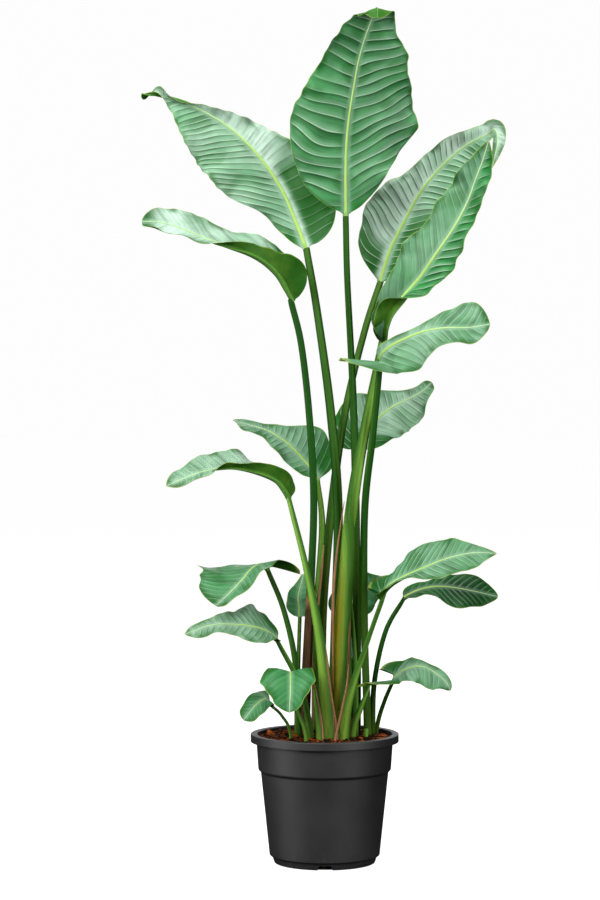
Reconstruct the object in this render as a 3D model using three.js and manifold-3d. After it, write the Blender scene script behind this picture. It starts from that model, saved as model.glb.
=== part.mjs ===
// Potted bird of paradise: a nursery pot, its soil, leaf stalks that stand in the soil and a blade on each.
// Millimetres, +Z up. The origin is the centre of the pot's underside. -Y is the side seen from the front.
import * as THREE from 'three';
import { mergeVertices } from 'three/addons/utils/BufferGeometryUtils.js';
import Module from 'manifold-3d';

// ---- Driving dimensions ----
const POT = {
  height: 235,
  rimRadius: 135,        // outside of the rim band
  rimBand: 14,           // height of the rim band
  collarRadius: 124.5,   // collar just under the rim
  collarFoot: 121,       // collar where it ends
  shoulder: 170,         // height of the collar's lower edge
  bodyRadius: 116.5,     // body just under the collar
  bodyFoot: 100.5,       // body just above the foot
  footHeight: 12,
  footRadius: 92,
  wall: 2.4,
  floor: 4,
  segments: 40,
};
const NOTCH = { count: 4, width: 27, height: 8, taper: 4 };  // drainage notches round the foot
const SOIL = {
  top: 228,              // where the soil meets the wall
  mound: 5,              // how much higher its middle is
  lumps: 1.6,            // height of its own unevenness
  rings: [0.2, 0.4, 0.6, 0.8],
  chips: 30,
  chipSize: [5, 9],      // half lengths of the bark chips
};
const GAP = 0.3;           // clearance between pieces that touch
const BLADE = 1.2;         // thickness of a blade
const STALK_FOOT = 150;    // height of the stalks' buried ends
const STALK_SIDES = 10;
const RIB_TAPER = 0.85;    // share of its radius that a midrib loses from base to tip
const RIB_KEEL = 1.5;      // depth of the midrib under the blade, in rib radii
const LOBE_CLEAR = 2;      // rib radii beside the stalk that the basal lobes leave free
const TAIL_OPEN = 18;      // half width that a hanging basal lobe keeps at its root
const BASE_SHARE = 0.12;   // share of the length in which a blade's base rounds out
const SWEEP = 0.45;        // how far the margins run ahead along the side veins
const CENTRE = new THREE.Vector3(30, 0, 0);  // the clump's middle, which the stalks' hollow sides face

const COLOURS = { blade: 0x3f8a55, stalk: 0x4c8a35, sheath: 0x8a7a3a, soil: 0x4a2d1c, pot: 0x2b2c2d };

// ---- The leaves ----
// foot: points of the stalk from its buried end up, x and y at the buried end first.
// stalk: half widths from the foot to the top. flat: depth over width at the foot.
// bow: how far the foot's edges wrap round the clump.
// rib: points of the midrib from the stalk to the tip.
// face: where the blade's upper side looks, base to tip.
// width: half widths from base to tip, left margin then right, seen from above with the tip ahead.
// fold: degrees that each half rises from the rib.
// curl: degrees that it then bends away again, or inwards where below nought.
// lobe: how far each basal lobe runs back, in half widths, or ahead where below nought.
// tail: how far the margin beside the stalk is drawn out sideways, left then right.
// wave: height of the margin's ripples. waves: how many there are.
// tip: share of the length that the tip rounds off in, and how sharply.
// rows: rows of points along the blade.
const LEAVES = {
  crown: {
    foot: [[59, 22], [59, 22, 240], [60, 24, 420], [58, 24, 650], [52, 18, 850], [41, 5, 1060]],
    stalk: [10, 9, 7.5, 7, 6, 5.5], flat: 0.8, bow: 3,
    rib: [[38, 0, 1176], [38, -8, 1276], [42, -14, 1340], [50, -22, 1396], [60, -34, 1452],
      [72, -48, 1494], [84, -60, 1526], [90, -74, 1540], [93, -90, 1538], [93, -98, 1522]],
    face: [[0, -1, 0.05], [0, -1, 0], [0.05, -1, 0], [0.1, -1, -0.1], [0.1, -1, -0.1], [0.1, -1, -0.1],
      [0, -0.5, -1], [0, 0.8, -1]],
    width: [[10, 86, 106, 92, 71, 55, 40, 26], [14, 74, 124, 116, 96, 80, 43, 22]],
    fold: [[12, 8, 5, 5, 5], [10, 6, 5, 5, 5]],
      curl: [[15, 20, 20, 20, 20, 0, -60, -120], [15, 25, 25, 20, 20, 0, -60, -120]],
    lobe: [0.5, 0.45], wave: [4, 6], waves: 4.5, tip: [0.1, 0.5], rows: 17,
  },
  left_high: {
    foot: [[14, 4], [14, 4, 240], [19, 4, 430], [24, 6, 640], [11, 14, 820], [-13, 30, 1000]],
    stalk: [11, 10.5, 9.5, 8.5, 7.5, 6.5], flat: 0.8, bow: 2,
    rib: [[-34, 44, 1120], [-50, 53, 1162], [-77, 64, 1226], [-121, 77, 1291], [-174, 89, 1343],
      [-235, 98, 1381], [-286, 100, 1400], [-337, 92, 1407]],
    face: [[-0.2, -1, 0.3], [-0.1, -1, 0.3], [0, -1, 0.2], [0, -1, 0.2], [0, -1, 0.2], [0.1, -1, 0.3],
      [0, -0.9, 0.6], [0, 1, 0.3]],
    width: [[20, 46, 90, 97, 90, 70, 28, 0], [54, 86, 72, 52, 32, 16, 12, 28]],
    fold: [[5, 5, 5, 8, 8, 10, 10, 10], [5, 5, 5, 8, 10, 60, 130, 30]],
      curl: [[10, 20, 10, 10, 40], [10, 10, 10, 10]],
    lobe: [0.3, 0.5], wave: [4, 5], waves: 4.5, tip: [0.1, 0.5], rows: 17,
  },
  left_reach: {
    foot: [[-38, 14], [-38, 14, 240], [-30, 10, 430], [-20, 5, 640], [-27, 0, 800], [-42, -5, 940]],
    stalk: [14, 12, 9, 7.5, 6.5, 6], flat: 0.7, bow: 6,
    rib: [[-58, -8, 1024], [-69, -18, 1044], [-83, -32, 1067], [-106, -48, 1089], [-135, -64, 1105],
      [-168, -77, 1117], [-213, -89, 1132], [-258, -99, 1150], [-294, -107, 1160], [-325, -113, 1161]],
    face: [[0.8, 0.3, 1], [0.4, 0.3, 1], [0, 0.3, 1], [0, 0.3, 1], [0, -0.1, 1], [0, -0.7, 0.8],
      [0, -0.9, 0.5], [0, -0.9, 0.4]],
    width: [[62, 46, 27, 20, 16, 22, 27, 32, 34], [62, 58, 54, 56, 55, 48, 42, 30, 18]],
    fold: [[60, 60, 60, 60, 30, 0, 0, 0, 0], [75, 75, 75, 75, 50, 20, 5, 0, 0]],
      curl: [[0, 10, 0, 0, -100, -220], [0, 10, 0, 0]],
    lobe: [-0.3, -0.3], wave: [3, 4], waves: 3, tip: [0.12, 0.5], rows: 16,
  },
  right_back: {
    foot: [[-5, 44], [-5, 44, 240], [-6, 46, 430], [12, 48, 640], [38, 52, 820], [74, 57, 970]],
    stalk: [11, 10, 8.5, 7.5, 6.5, 6], flat: 0.8, bow: 3,
    rib: [[102, 60, 1060], [121, 74, 1118], [149, 88, 1174], [177, 102, 1225], [217, 118, 1274],
      [262, 137, 1314], [304, 150, 1337], [318, 147, 1346], [323, 141, 1322], [313, 134, 1274]],
    face: [[-0.2, -1, 0.2], [-0.1, -1, 0.1], [0.1, -1, 0.1], [0.1, -1, 0.1]],
    width: [[20, 64, 82, 66, 46, 38, 34, 25, 20, 17, 13], [44, 56, 62, 64, 60, 54, 44, 34, 12, 12, 14]],
    fold: [[5, 5, 10, 20], [20, 20, 20, 20]], curl: [[20, 20, 10], [10, 10, 10]],
    lobe: [0.1, 0.3], wave: [5, 4], waves: 3.5, rows: 18,
  },
  right_front: {
    foot: [[20, -30], [20, -30, 240], [28, -32, 430], [46, -34, 640], [72, -32, 790], [98, -28, 920]],
    stalk: [18, 17.5, 15, 12.5, 9, 6.5], flat: 0.6, bow: 12,
    rib: [[105, -28, 950], [110, -46, 974], [120, -60, 1000], [139, -68, 1028], [170, -70, 1064],
      [198, -72, 1105], [228, -74, 1149], [253, -76, 1196], [269, -79, 1240], [281, -82, 1272],
      [291, -86, 1306]],
    face: [[0.2, -0.9, 0.3], [-0.1, -1, 0.3], [-0.3, -1, 0.2], [-0.3, -0.9, 0.2], [0.2, -0.9, 0.3]],
    width: [[26, 36, 46, 60, 50, 50, 40, 30, 22], [26, 34, 34, 44, 38, 28, 27, 26, 22]],
    fold: [[50, 30, 15, 10, 10, 10], [150, 135, 40, 12, 10, 10, 10, 10]],
      curl: [[0, 20, 10, 10], [-20, 0, 20, 20, 10]],
    lobe: [0.1, 0.1], wave: [4, 6], waves: 5, rows: 17,
  },
  right_mid: {
    foot: [[78, -2], [78, -2, 240], [72, -8, 430], [72, -24, 640], [86, -50, 780]],
    stalk: [9, 8, 7.5, 7, 6.5, 5.5], flat: 0.9, bow: 2,
    rib: [[96, -72, 916], [106, -88, 932], [135, -105, 950], [175, -118, 966], [212, -126, 972],
      [256, -130, 973], [291, -131, 979]],
    face: [[-0.3, -0.8, 0.6], [0, -0.8, 0.7], [0.1, -0.9, 0.6]],
    width: [[16, 14, 12, 20, 42, 54, 60], [26, 64, 60, 42, 34, 33, 30]],
    fold: [[30, 20, 10], [0, 0, 0]], curl: [[20, 10, 10], [20, 30, -10]],
    lobe: [0.3, 0.6], tail: [null, [-76, -6, 14]], wave: [3, 3], waves: 4, rows: 15,
  },
  back_mid: {
    foot: [[50, 66], [50, 66, 240], [44, 74, 430], [52, 84, 620]],
    stalk: [8, 7, 6, 5, 4.5], flat: 0.9, bow: 1,
    rib: [[72, 90, 750], [88, 96, 794], [119, 104, 824], [149, 116, 840], [180, 132, 856],
      [202, 150, 874]],
    face: [[-0.3, -1, 0.2], [-0.1, -1, 0.3], [0.1, -1, 0.3]],
    width: [[54, 76, 48, 34, 18, 14, 24], [22, 50, 56, 52, 42, 20, 24]],
    fold: [[5, 5, 10], [10, 5, 5]], curl: [[20, 20, 10], [20, 20, 10]],
    lobe: [0.7, 0.3], wave: [3, 5], waves: 3, rows: 13,
  },
  left_mid: {
    foot: [[-16, 76], [-16, 76, 240], [-14, 78, 430], [-4, 80, 600]],
    stalk: [10, 9.5, 9, 7, 4.5], flat: 0.8, bow: 3,
    rib: [[-12, 78, 694], [-22, 82, 712], [-44, 83, 738], [-72, 84, 765], [-104, 90, 785],
      [-137, 98, 795], [-169, 103, 805]],
    face: [[0.1, -1, 0.3], [0.1, -1, 0.3], [0.2, -0.8, 0.6], [0.2, -0.4, 0.9]],
    width: [[10, 26, 28, 26, 20, 32, 26], [22, 66, 52, 28, 14, 14, 14]],
    fold: [[5, 5, 10, 30], [10, 5, 5, 10]], curl: [[20, 20, 10, 0], [20, 20, 10, 0]],
    lobe: [0.3, 0.4], wave: [2, 3], waves: 3, rows: 13,
  },
  left_arch: {
    foot: [[3, -51], [3, -51, 240], [-10, -58, 400], [-34, -60, 540]],
    stalk: [16, 14, 9.5, 6, 4.5], flat: 0.4, bow: 9,
    rib: [[-64, -50, 668], [-72, -61, 682], [-88, -74, 701], [-122, -87, 715], [-163, -99, 723],
      [-201, -110, 721], [-240, -119, 710], [-282, -128, 692]],
    face: [[0.3, 0.5, 0.8], [0, 0.3, 1], [0, 0, 1], [-0.2, -0.5, 0.8], [-0.3, -0.8, 0.6]],
    width: [[24, 24, 20, 15, 18, 18, 16], [14, 56, 66, 46, 36, 28, 28]],
    fold: [[40, 50, 40, 5, 0], [30, 40, 40, 20, 10]], curl: [[0, 0, 0, 10, 10], [0, 10, 10, 10, 10]],
    lobe: [0.3, 0.3], wave: [3, 3], waves: 4, rows: 15,
  },
  left_bowed: {
    foot: [[-49, -24], [-49, -24, 240], [-53, -22, 360], [-74, -19, 460]],
    stalk: [9, 8, 6, 5, 4.5], flat: 0.8, bow: 2,
    rib: [[-104, -18, 538], [-114, -41, 548], [-132, -66, 541], [-152, -85, 519], [-173, -100, 498],
      [-195, -109, 478]],
    face: [[0, 0.5, 0.8], [-0.25, -0.2, 0.9], [-0.3, -0.7, 0.7], [-0.4, -0.8, 0.4]],
    width: [[30, 34, 28, 24, 20, 14, 10], [20, 70, 106, 82, 76, 60, 40]],
    fold: [[10, 5, 0, 0], [10, 5, 5, 5]], curl: [[10, 20, 40, 20], [10, 10, 10, 10]],
    lobe: [0.6, 0.2], tail: [[44, 6, -14], null], wave: [2, 2], waves: 3, tip: [0.12, 0.5], rows: 13,
  },
  left_low: {
    foot: [[-28, -46], [-28, -46, 240], [-44, -44, 325]],
    stalk: [10, 8, 5.5, 4], flat: 0.7, bow: 3,
    rib: [[-84, -42, 410], [-102, -64, 427], [-128, -84, 438], [-167, -100, 444], [-205, -112, 443],
      [-250, -122, 428]],
    face: [[0.2, -0.8, 0.8], [0, -0.9, 0.7], [-0.1, -0.9, 0.6]],
    width: [[16, 30, 38, 22, 18, 20, 16], [30, 50, 44, 26, 18, 14, 14]],
    fold: [[30, 5, 5], [5, 5, 5]], curl: [[-20, 20, 10], [20, 20, 10]],
    lobe: [0.3, 0.5], wave: [3, 4], waves: 3, rows: 12,
  },
  front_small: {
    foot: [[-34, -78], [-34, -78, 240], [-52, -77, 292]],
    stalk: [6, 5, 4, 3.5], flat: 0.9, bow: 1,
    rib: [[-62, -76, 342], [-62, -92, 358], [-62, -112, 350], [-62, -134, 330], [-64, -150, 292]],
    face: [[0, -0.2, 1], [0, -0.6, 0.8], [0, -1, 0.4], [0, -1, 0.3]],
    width: [[24, 40, 44, 38, 28, 22, 20], [16, 44, 54, 48, 36, 28, 22]],
    fold: [[20, 15, 10], [20, 15, 10]], curl: [[20, 20, 10], [20, 20, 10]],
    lobe: [0.6, 0.6], wave: [1, 1], waves: 2, rows: 12,
  },
  left_small: {
    foot: [[-62, -56], [-62, -56, 240], [-78, -58, 275]],
    stalk: [4, 3.5, 3, 3], flat: 1, bow: 0,
    rib: [[-96, -62, 296], [-106, -76, 308], [-124, -90, 298], [-146, -100, 272]],
    face: [[-0.2, -0.6, 0.8], [-0.4, -0.8, 0.6], [-0.5, -0.9, 0.3]],
    width: [[20, 22, 24, 26, 22, 20, 20], [28, 26, 28, 26, 22, 18, 16]],
    fold: [[10, 10, 10], [10, 10, 10]], curl: [[20, 20, 10], [20, 20, 10]],
    lobe: [0.3, 0.3], wave: [1, 1], waves: 2, rows: 10,
  },
  right_low: {
    foot: [[34, -62], [34, -62, 240], [52, -62, 330], [80, -60, 420]],
    stalk: [16, 12, 7.5, 5, 4.5], flat: 0.4, bow: 8,
    rib: [[100, -60, 486], [108, -75, 505], [129, -90, 523], [177, -104, 546], [218, -113, 563],
      [263, -118, 573], [304, -121, 572]],
    face: [[-0.2, -0.5, 0.9], [-0.1, -0.7, 0.8], [0, -0.8, 0.7]],
    width: [[26, 32, 54, 52, 38, 18, 12], [16, 20, 20, 36, 36, 32, 20]],
    fold: [[10, 10, 10], [40, 5, 5]], curl: [[20, 20, 10], [-30, 20, 10]],
    lobe: [0.5, 0.3], tail: [[-24, -4, 8], null], wave: [2, 3], waves: 3, rows: 15,
  },
  right_under: {
    foot: [[88, 26], [88, 26, 240], [92, 26, 330], [112, 22, 420]],
    stalk: [7, 6, 5, 4.5, 4], flat: 0.9, bow: 1,
    rib: [[144, 16, 482], [160, 16, 491], [183, 17, 499], [211, 19, 502], [242, 21, 499],
      [281, 26, 491], [318, 32, 482]],
    face: [[-0.2, -0.5, 0.9], [-0.1, -0.7, 0.8], [0, -0.8, 0.7]],
    width: [[22, 20, 22, 34, 36, 28, 24], [14, 18, 36, 48, 40, 28, 22]],
    fold: [[10, 10, 10], [5, 5, 5]], curl: [[20, 20, 10], [20, 20, 10]],
    lobe: [0.3, 0.3], wave: [2, 3], waves: 3, rows: 14,
  },
  right_small: {
    foot: [[86, 42], [97, 48, 240], [110, 32, 290]],
    stalk: [5, 4.5, 4, 3.5], flat: 0.9, bow: 1,
    rib: [[124, -6, 336], [140, -23, 351], [158, -38, 361], [179, -49, 362], [199, -58, 352],
      [217, -65, 337], [226, -70, 322]],
    face: [[-0.3, -0.6, 0.8], [-0.1, -0.7, 0.8], [0.1, -0.8, 0.7], [0.3, -0.8, 0.6]],
    width: [[24, 30, 20, 12, 12, 12, 12], [14, 28, 34, 38, 36, 30, 24]],
    fold: [[10, 10, 10], [5, 5, 5]], curl: [[20, 20, 10], [20, 20, 10]],
    lobe: [0.6, 0.6], tail: [[-24, 6, 6], [-56, -6, 0]], wave: [2, 2], waves: 3, rows: 12,
  },
  back_left: {
    foot: [[-49, 54], [-49, 54, 240], [-48, 60, 350]],
    stalk: [6, 5, 4, 3.5], flat: 0.9, bow: 1,
    rib: [[-46, 62, 442], [-46, 66, 457], [-48, 69, 477], [-44, 74, 498], [-38, 84, 520]],
    face: [[-0.3, -1, 0.2], [-0.3, -1, 0.3], [-0.3, -1, 0.3]],
    width: [[14, 24, 22, 18, 12, 8, 8], [24, 34, 36, 32, 24, 14, 10]],
    fold: [[10, 10, 10], [5, 5, 5]], curl: [[20, 20, 10], [20, 20, 10]],
    lobe: [0.3, 0.3], wave: [2, 2], waves: 2, rows: 10,
  },
  back_low: {
    foot: [[30, 90], [30, 90, 240], [32, 92, 350]],
    stalk: [7, 6, 5, 4], flat: 0.9, bow: 1,
    rib: [[40, 92, 438], [50, 103, 463], [68, 118, 484], [97, 132, 497], [123, 149, 504]],
    face: [[-0.3, -1, 0.4], [0, -1, 0.5], [0.1, -1, 0.5]],
    width: [[36, 42, 40, 36, 26, 16, 10], [30, 40, 38, 34, 24, 16, 10]],
    fold: [[10, 10, 10], [5, 5, 5]], curl: [[20, 20, 10], [20, 20, 10]],
    lobe: [0.3, 0.3], wave: [2, 2], waves: 2, rows: 10,
  },
};

// Old sheaths, a rolled new leaf and a cut stalk, which have no blade. Half widths and depth as above.
const SHOOTS = {
  sheath_left: { path: [[-12, -74, 150], [-12, -74, 240], [-18, -74, 285], [-21, -72, 324]],
    wide: [8, 8, 6, 1.2], flat: 0.4, bow: 4, steps: 5 },
  sheath_right: { path: [[52, -38, 150], [52, -38, 240], [66, -42, 285], [82, -44, 326]],
    wide: [8, 8, 6.5, 1.5], flat: 0.5, bow: 4, steps: 5 },
  spear: { path: [[56, -10, 150], [56, -10, 240], [56, -10, 330], [52, -12, 420], [47, -14, 492]],
    wide: [6, 6, 5.5, 4.5, 1.2], flat: 0.9, bow: 0, steps: 6 },
  stub: { path: [[74, -36, 190], [74, -36, 225], [75, -36, 248]], wide: [5.5, 5.5, 5], flat: 0.8,
    bow: 1, steps: 3 },
};

// ---- Curves and values along a length ----
const vector = (p) => new THREE.Vector3(...p);

function curveThrough(points) {
  return new THREE.CatmullRomCurve3(points, false, 'catmullrom', 0.5);
}

// A smooth value through evenly spaced numbers, at share s of the way.
function along(values, s) {
  const last = values.length - 1;
  const at = (k) => {
    if (k < 0) return 2 * values[0] - values[1];
    return k > last ? 2 * values[last] - values[last - 1] : values[k];
  };
  const place = THREE.MathUtils.clamp(s, 0, 1) * last;
  const i = Math.min(Math.floor(place), last - 1);
  const f = place - i;
  const [a, b, c, d] = [at(i - 1), at(i), at(i + 1), at(i + 2)];
  const square = (2 * a - 5 * b + 4 * c - d) * f ** 2;
  const cube = (3 * b - a - 3 * c + d) * f ** 3;
  return 0.5 * (2 * b + (c - a) * f + square + cube);
}

function directionAlong(vectors, s) {
  return new THREE.Vector3(...[0, 1, 2].map((k) => along(vectors.map((v) => v[k]), s)));
}

// A curve read by its share of length, which runs on straight beyond both ends.
function measured(points) {
  const curve = curveThrough(points.map(vector));
  const length = curve.getLength();
  return {
    length,
    tangent: (s) => curve.getTangentAt(THREE.MathUtils.clamp(s, 0, 1)),
    at(s) {
      const inside = THREE.MathUtils.clamp(s, 0, 1);
      return curve.getPointAt(inside).addScaledVector(curve.getTangentAt(inside), (s - inside) * length);
    },
  };
}

// ---- Solids from rows of points ----
function solidFrom(positions, index) {
  const geometry = new THREE.BufferGeometry();
  const numbers = positions.flatMap((p) => p.toArray());
  geometry.setAttribute('position', new THREE.Float32BufferAttribute(numbers, 3));
  geometry.setIndex(index);
  return geometry;
}

// Closed rings of equal size, joined in order and closed by a fan at each end.
function loft(rings) {
  const size = rings[0].length;
  const positions = rings.flat();
  const index = [];
  for (let i = 0; i + 1 < rings.length; i++) {
    for (let j = 0; j < size; j++) {
      const [a, b] = [i * size + j, i * size + (j + 1) % size];
      index.push(a, b, b + size, a, b + size, a + size);
    }
  }
  for (const [row, flip] of [[0, true], [rings.length - 1, false]]) {
    const middle = positions.length;
    positions.push(rings[row].reduce((sum, p) => sum.add(p), new THREE.Vector3()).divideScalar(size));
    for (let j = 0; j < size; j++) {
      const [a, b] = [row * size + j, row * size + (j + 1) % size];
      index.push(...(flip ? [b, a, middle] : [a, b, middle]));
    }
  }
  return solidFrom(positions, index);
}

// A thin sheet between an upper and a lower grid of points, with both faces split along the same diagonals.
function sheet(upper, lower) {
  const rows = upper.length;
  const columns = upper[0].length;
  const positions = [...upper.flat(), ...lower.flat()];
  const index = [];
  const up = (i, j) => i * columns + j;
  const low = (i, j) => rows * columns + i * columns + j;
  const quad = (a, b, c, d) => index.push(a, b, c, a, c, d);
  for (let i = 0; i + 1 < rows; i++) {
    for (let j = 0; j + 1 < columns; j++) {
      quad(up(i, j), up(i, j + 1), up(i + 1, j + 1), up(i + 1, j));
      index.push(low(i, j), low(i + 1, j + 1), low(i, j + 1));
      index.push(low(i, j), low(i + 1, j), low(i + 1, j + 1));
    }
    quad(low(i, 0), up(i, 0), up(i + 1, 0), low(i + 1, 0));
    quad(up(i, columns - 1), low(i, columns - 1), low(i + 1, columns - 1), up(i + 1, columns - 1));
  }
  for (let j = 0; j + 1 < columns; j++) {
    quad(low(0, j), low(0, j + 1), up(0, j + 1), up(0, j));
    quad(up(rows - 1, j), up(rows - 1, j + 1), low(rows - 1, j + 1), low(rows - 1, j));
  }
  return solidFrom(positions, index);
}

// ---- Blades ----
const ribRadius = (leaf, s) => leaf.stalk.at(-1) * (1 - RIB_TAPER * s);

// 1 where the blade starts, falling to 0 where its base has rounded out.
const nearBase = (s) => THREE.MathUtils.clamp(1 - s / BASE_SHARE, 0, 1);

// Share of the width kept near the two ends: round at the base, pointed at the tip.
function rounding(s, [share, power]) {
  const base = nearBase(s);
  const tip = 1 - THREE.MathUtils.clamp((1 - s) / share, 0, 1);
  return Math.sqrt(1 - base ** 2) * (1 - tip ** 2) ** power;
}

function halfWidth(leaf, side, s) {
  const open = leaf.tail?.[side] ? TAIL_OPEN * nearBase(s) : 0;
  const width = along(leaf.width[side], s) * rounding(s, leaf.tip ?? [0.22, 0.75]);
  return Math.max(width, open, ribRadius(leaf, s) * 1.05);
}

// Point and facing direction of the upper surface, for station s from base to tip and v from -1 to 1,
// left margin to right. Each half leaves the rib at its fold angle and then bends evenly. Its margin is
// swept ahead along the side veins.
function bladePoint(leaf, rib, s, v) {
  const side = v < 0 ? 0 : 1;
  const out = Math.abs(v);
  const widest = Math.max(...leaf.width[side]);
  const width = halfWidth(leaf, side, s);
  const distance = out * width;
  const ahead = SWEEP * distance * out / rib.length * (1 - 0.6 * s) * Math.min(s / 0.15, 1);
  const clear = Math.max(distance - LOBE_CLEAR * ribRadius(leaf, 0), 0);
  const behind = leaf.lobe[side] * clear / rib.length * Math.max(1 - s / 0.35, 0) ** 2;
  const station = s + ahead - behind;
  const tangent = rib.tangent(station);
  const normal = directionAlong(leaf.face, station);
  normal.addScaledVector(tangent, -normal.dot(tangent)).normalize();
  const across = new THREE.Vector3().crossVectors(tangent, normal).multiplyScalar(v < 0 ? -1 : 1);
  const fold = THREE.MathUtils.degToRad(along(leaf.fold[side], station));
  let bend = THREE.MathUtils.degToRad(along(leaf.curl[side], station)) / widest;
  if (Math.abs(bend) < 1e-6) bend = 1e-6;
  const end = fold - bend * distance;
  const facing = across.clone().multiplyScalar(-Math.sin(end)).addScaledVector(normal, Math.cos(end));
  const point = rib.at(station)
    .addScaledVector(across, (Math.sin(fold) - Math.sin(end)) / bend)
    .addScaledVector(normal, (Math.cos(end) - Math.cos(fold)) / bend);
  const turn = leaf.waves * station + [0, 0.35][side];
  const fade = THREE.MathUtils.clamp(4 * width / widest - 0.4, 0, 1);
  point.addScaledVector(facing, leaf.wave[side] * out ** 2.2 * Math.sin(2 * Math.PI * turn) * fade);
  const drawn = (1 - (1 - nearBase(s)) ** 2) * Math.max(2 * out - 1, 0) ** 1.5;
  const tail = leaf.tail?.[side];
  if (tail) point.addScaledVector(vector(tail), drawn);
  return { point, facing };
}

function bladeSolid(leaf) {
  const rib = measured(leaf.rib);
  const shares = leaf.rows > 12 ? [1, 2 / 3, 1 / 3, 0] : [1, 1 / 2, 0];
  const upper = [];
  const lower = [];
  for (let row = 0; row < leaf.rows; row++) {
    const t = row / (leaf.rows - 1);
    const s = t - 0.07 * Math.sin(2 * Math.PI * t);  // rows closer together at both ends
    const radius = ribRadius(leaf, s);
    const edges = [0, 1].map((side) => Math.min(radius / halfWidth(leaf, side, s), 0.8));
    const stops = [
      ...shares.map((f) => -(edges[0] + (1 - edges[0]) * f)), 0,
      ...shares.map((f) => edges[1] + (1 - edges[1]) * f).reverse(),
    ];
    upper.push([]);
    lower.push([]);
    for (const v of stops) {
      const { point, facing } = bladePoint(leaf, rib, s, v);
      upper.at(-1).push(point);
      const depth = v === 0 ? BLADE + RIB_KEEL * radius : BLADE;
      lower.at(-1).push(point.clone().addScaledVector(facing, -depth));
    }
  }
  return sheet(upper, lower);
}

// ---- Stalks ----
// A ring of the stalk's section: an ellipse whose edges are bowed towards the inner side.
function section(centre, tangent, inner, wide, deep, bow, grow) {
  const y = inner.clone().addScaledVector(tangent, -inner.dot(tangent)).normalize();
  const x = new THREE.Vector3().crossVectors(y, tangent);
  return Array.from({ length: STALK_SIDES }, (_, k) => {
    const angle = 2 * Math.PI * k / STALK_SIDES;
    const across = Math.cos(angle);
    return centre.clone().addScaledVector(x, (wide + grow) * across)
      .addScaledVector(y, (deep + grow) * Math.sin(angle) + bow * across ** 2);
  });
}

// A stalk along a path. grow widens it all round, for the hole that it stands in.
function stalkSolid({ path, wide, flat, bow, top, steps = 9 }, grow = 0) {
  const line = measured(path);
  const start = vector(path[0]);
  const inward = CENTRE.clone().sub(start).setZ(0).normalize();
  const rings = [];
  for (let i = 0; i <= steps; i++) {
    const s = i / steps;
    const blend = THREE.MathUtils.smoothstep(s, 0.2, 0.9);
    const last = top && i === steps;
    const tangent = last ? top.tangent : line.tangent(s);
    const inner = top ? inward.clone().lerp(top.normal, blend) : inward;
    const width = along(wide, s);
    const depth = width * THREE.MathUtils.lerp(flat, 1, top ? blend : 0);
    const centre = line.at(s).addScaledVector(tangent, i === 0 ? -grow : 0);
    rings.push(section(centre, tangent, inner, width, depth, bow * (1 - (top ? blend : 0)), grow));
  }
  return loft(rings);
}

function stalkOf(leaf) {
  const rib = measured(leaf.rib);
  const tangent = rib.tangent(0);
  const normal = vector(leaf.face[0]);
  normal.addScaledVector(tangent, -normal.dot(tangent)).normalize();
  const radius = leaf.stalk.at(-1);
  const end = rib.at(0).addScaledVector(tangent, -1.3 * GAP).addScaledVector(normal, -0.7 * radius);
  const foot = leaf.foot.map((p) => (p.length === 2 ? [...p, STALK_FOOT] : p));
  const { stalk: wide, flat, bow } = leaf;
  return { path: [...foot, end.toArray()], wide, flat, bow, top: { tangent, normal } };
}

// ---- Joining and cutting ----
const wasm = await Module();
wasm.setup();

function toManifold(geometry) {
  const bare = geometry.clone();
  bare.deleteAttribute('normal');
  bare.deleteAttribute('uv');
  const merged = mergeVertices(bare, 1e-4);
  return new wasm.Manifold(new wasm.Mesh({
    numProp: 3,
    vertProperties: new Float32Array(merged.attributes.position.array),
    triVerts: new Uint32Array(merged.index.array),
  }));
}

function toGeometry(manifold) {
  const { vertProperties, triVerts } = manifold.getMesh();
  const geometry = new THREE.BufferGeometry();
  geometry.setAttribute('position', new THREE.BufferAttribute(new Float32Array(vertProperties), 3));
  geometry.setIndex(Array.from(triVerts));
  return geometry;
}

// ---- Pot ----
const innerRadius = (z) => {
  const { mapLinear } = THREE.MathUtils;
  const { wall, height, shoulder, footHeight, footRadius } = POT;
  const foot = footHeight + 2;
  if (z > shoulder) return mapLinear(z, shoulder, height, POT.collarFoot, POT.collarRadius) - wall;
  if (z > foot) return mapLinear(z, foot, shoulder - 4, POT.bodyFoot, POT.bodyRadius) - wall;
  return mapLinear(z, 0, footHeight, footRadius, footRadius + 4) - wall;
};

function turned(profile) {
  const geometry = new THREE.LatheGeometry(profile.map(([r, z]) => new THREE.Vector2(r, z)), POT.segments);
  return geometry.rotateX(Math.PI / 2);
}

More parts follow.
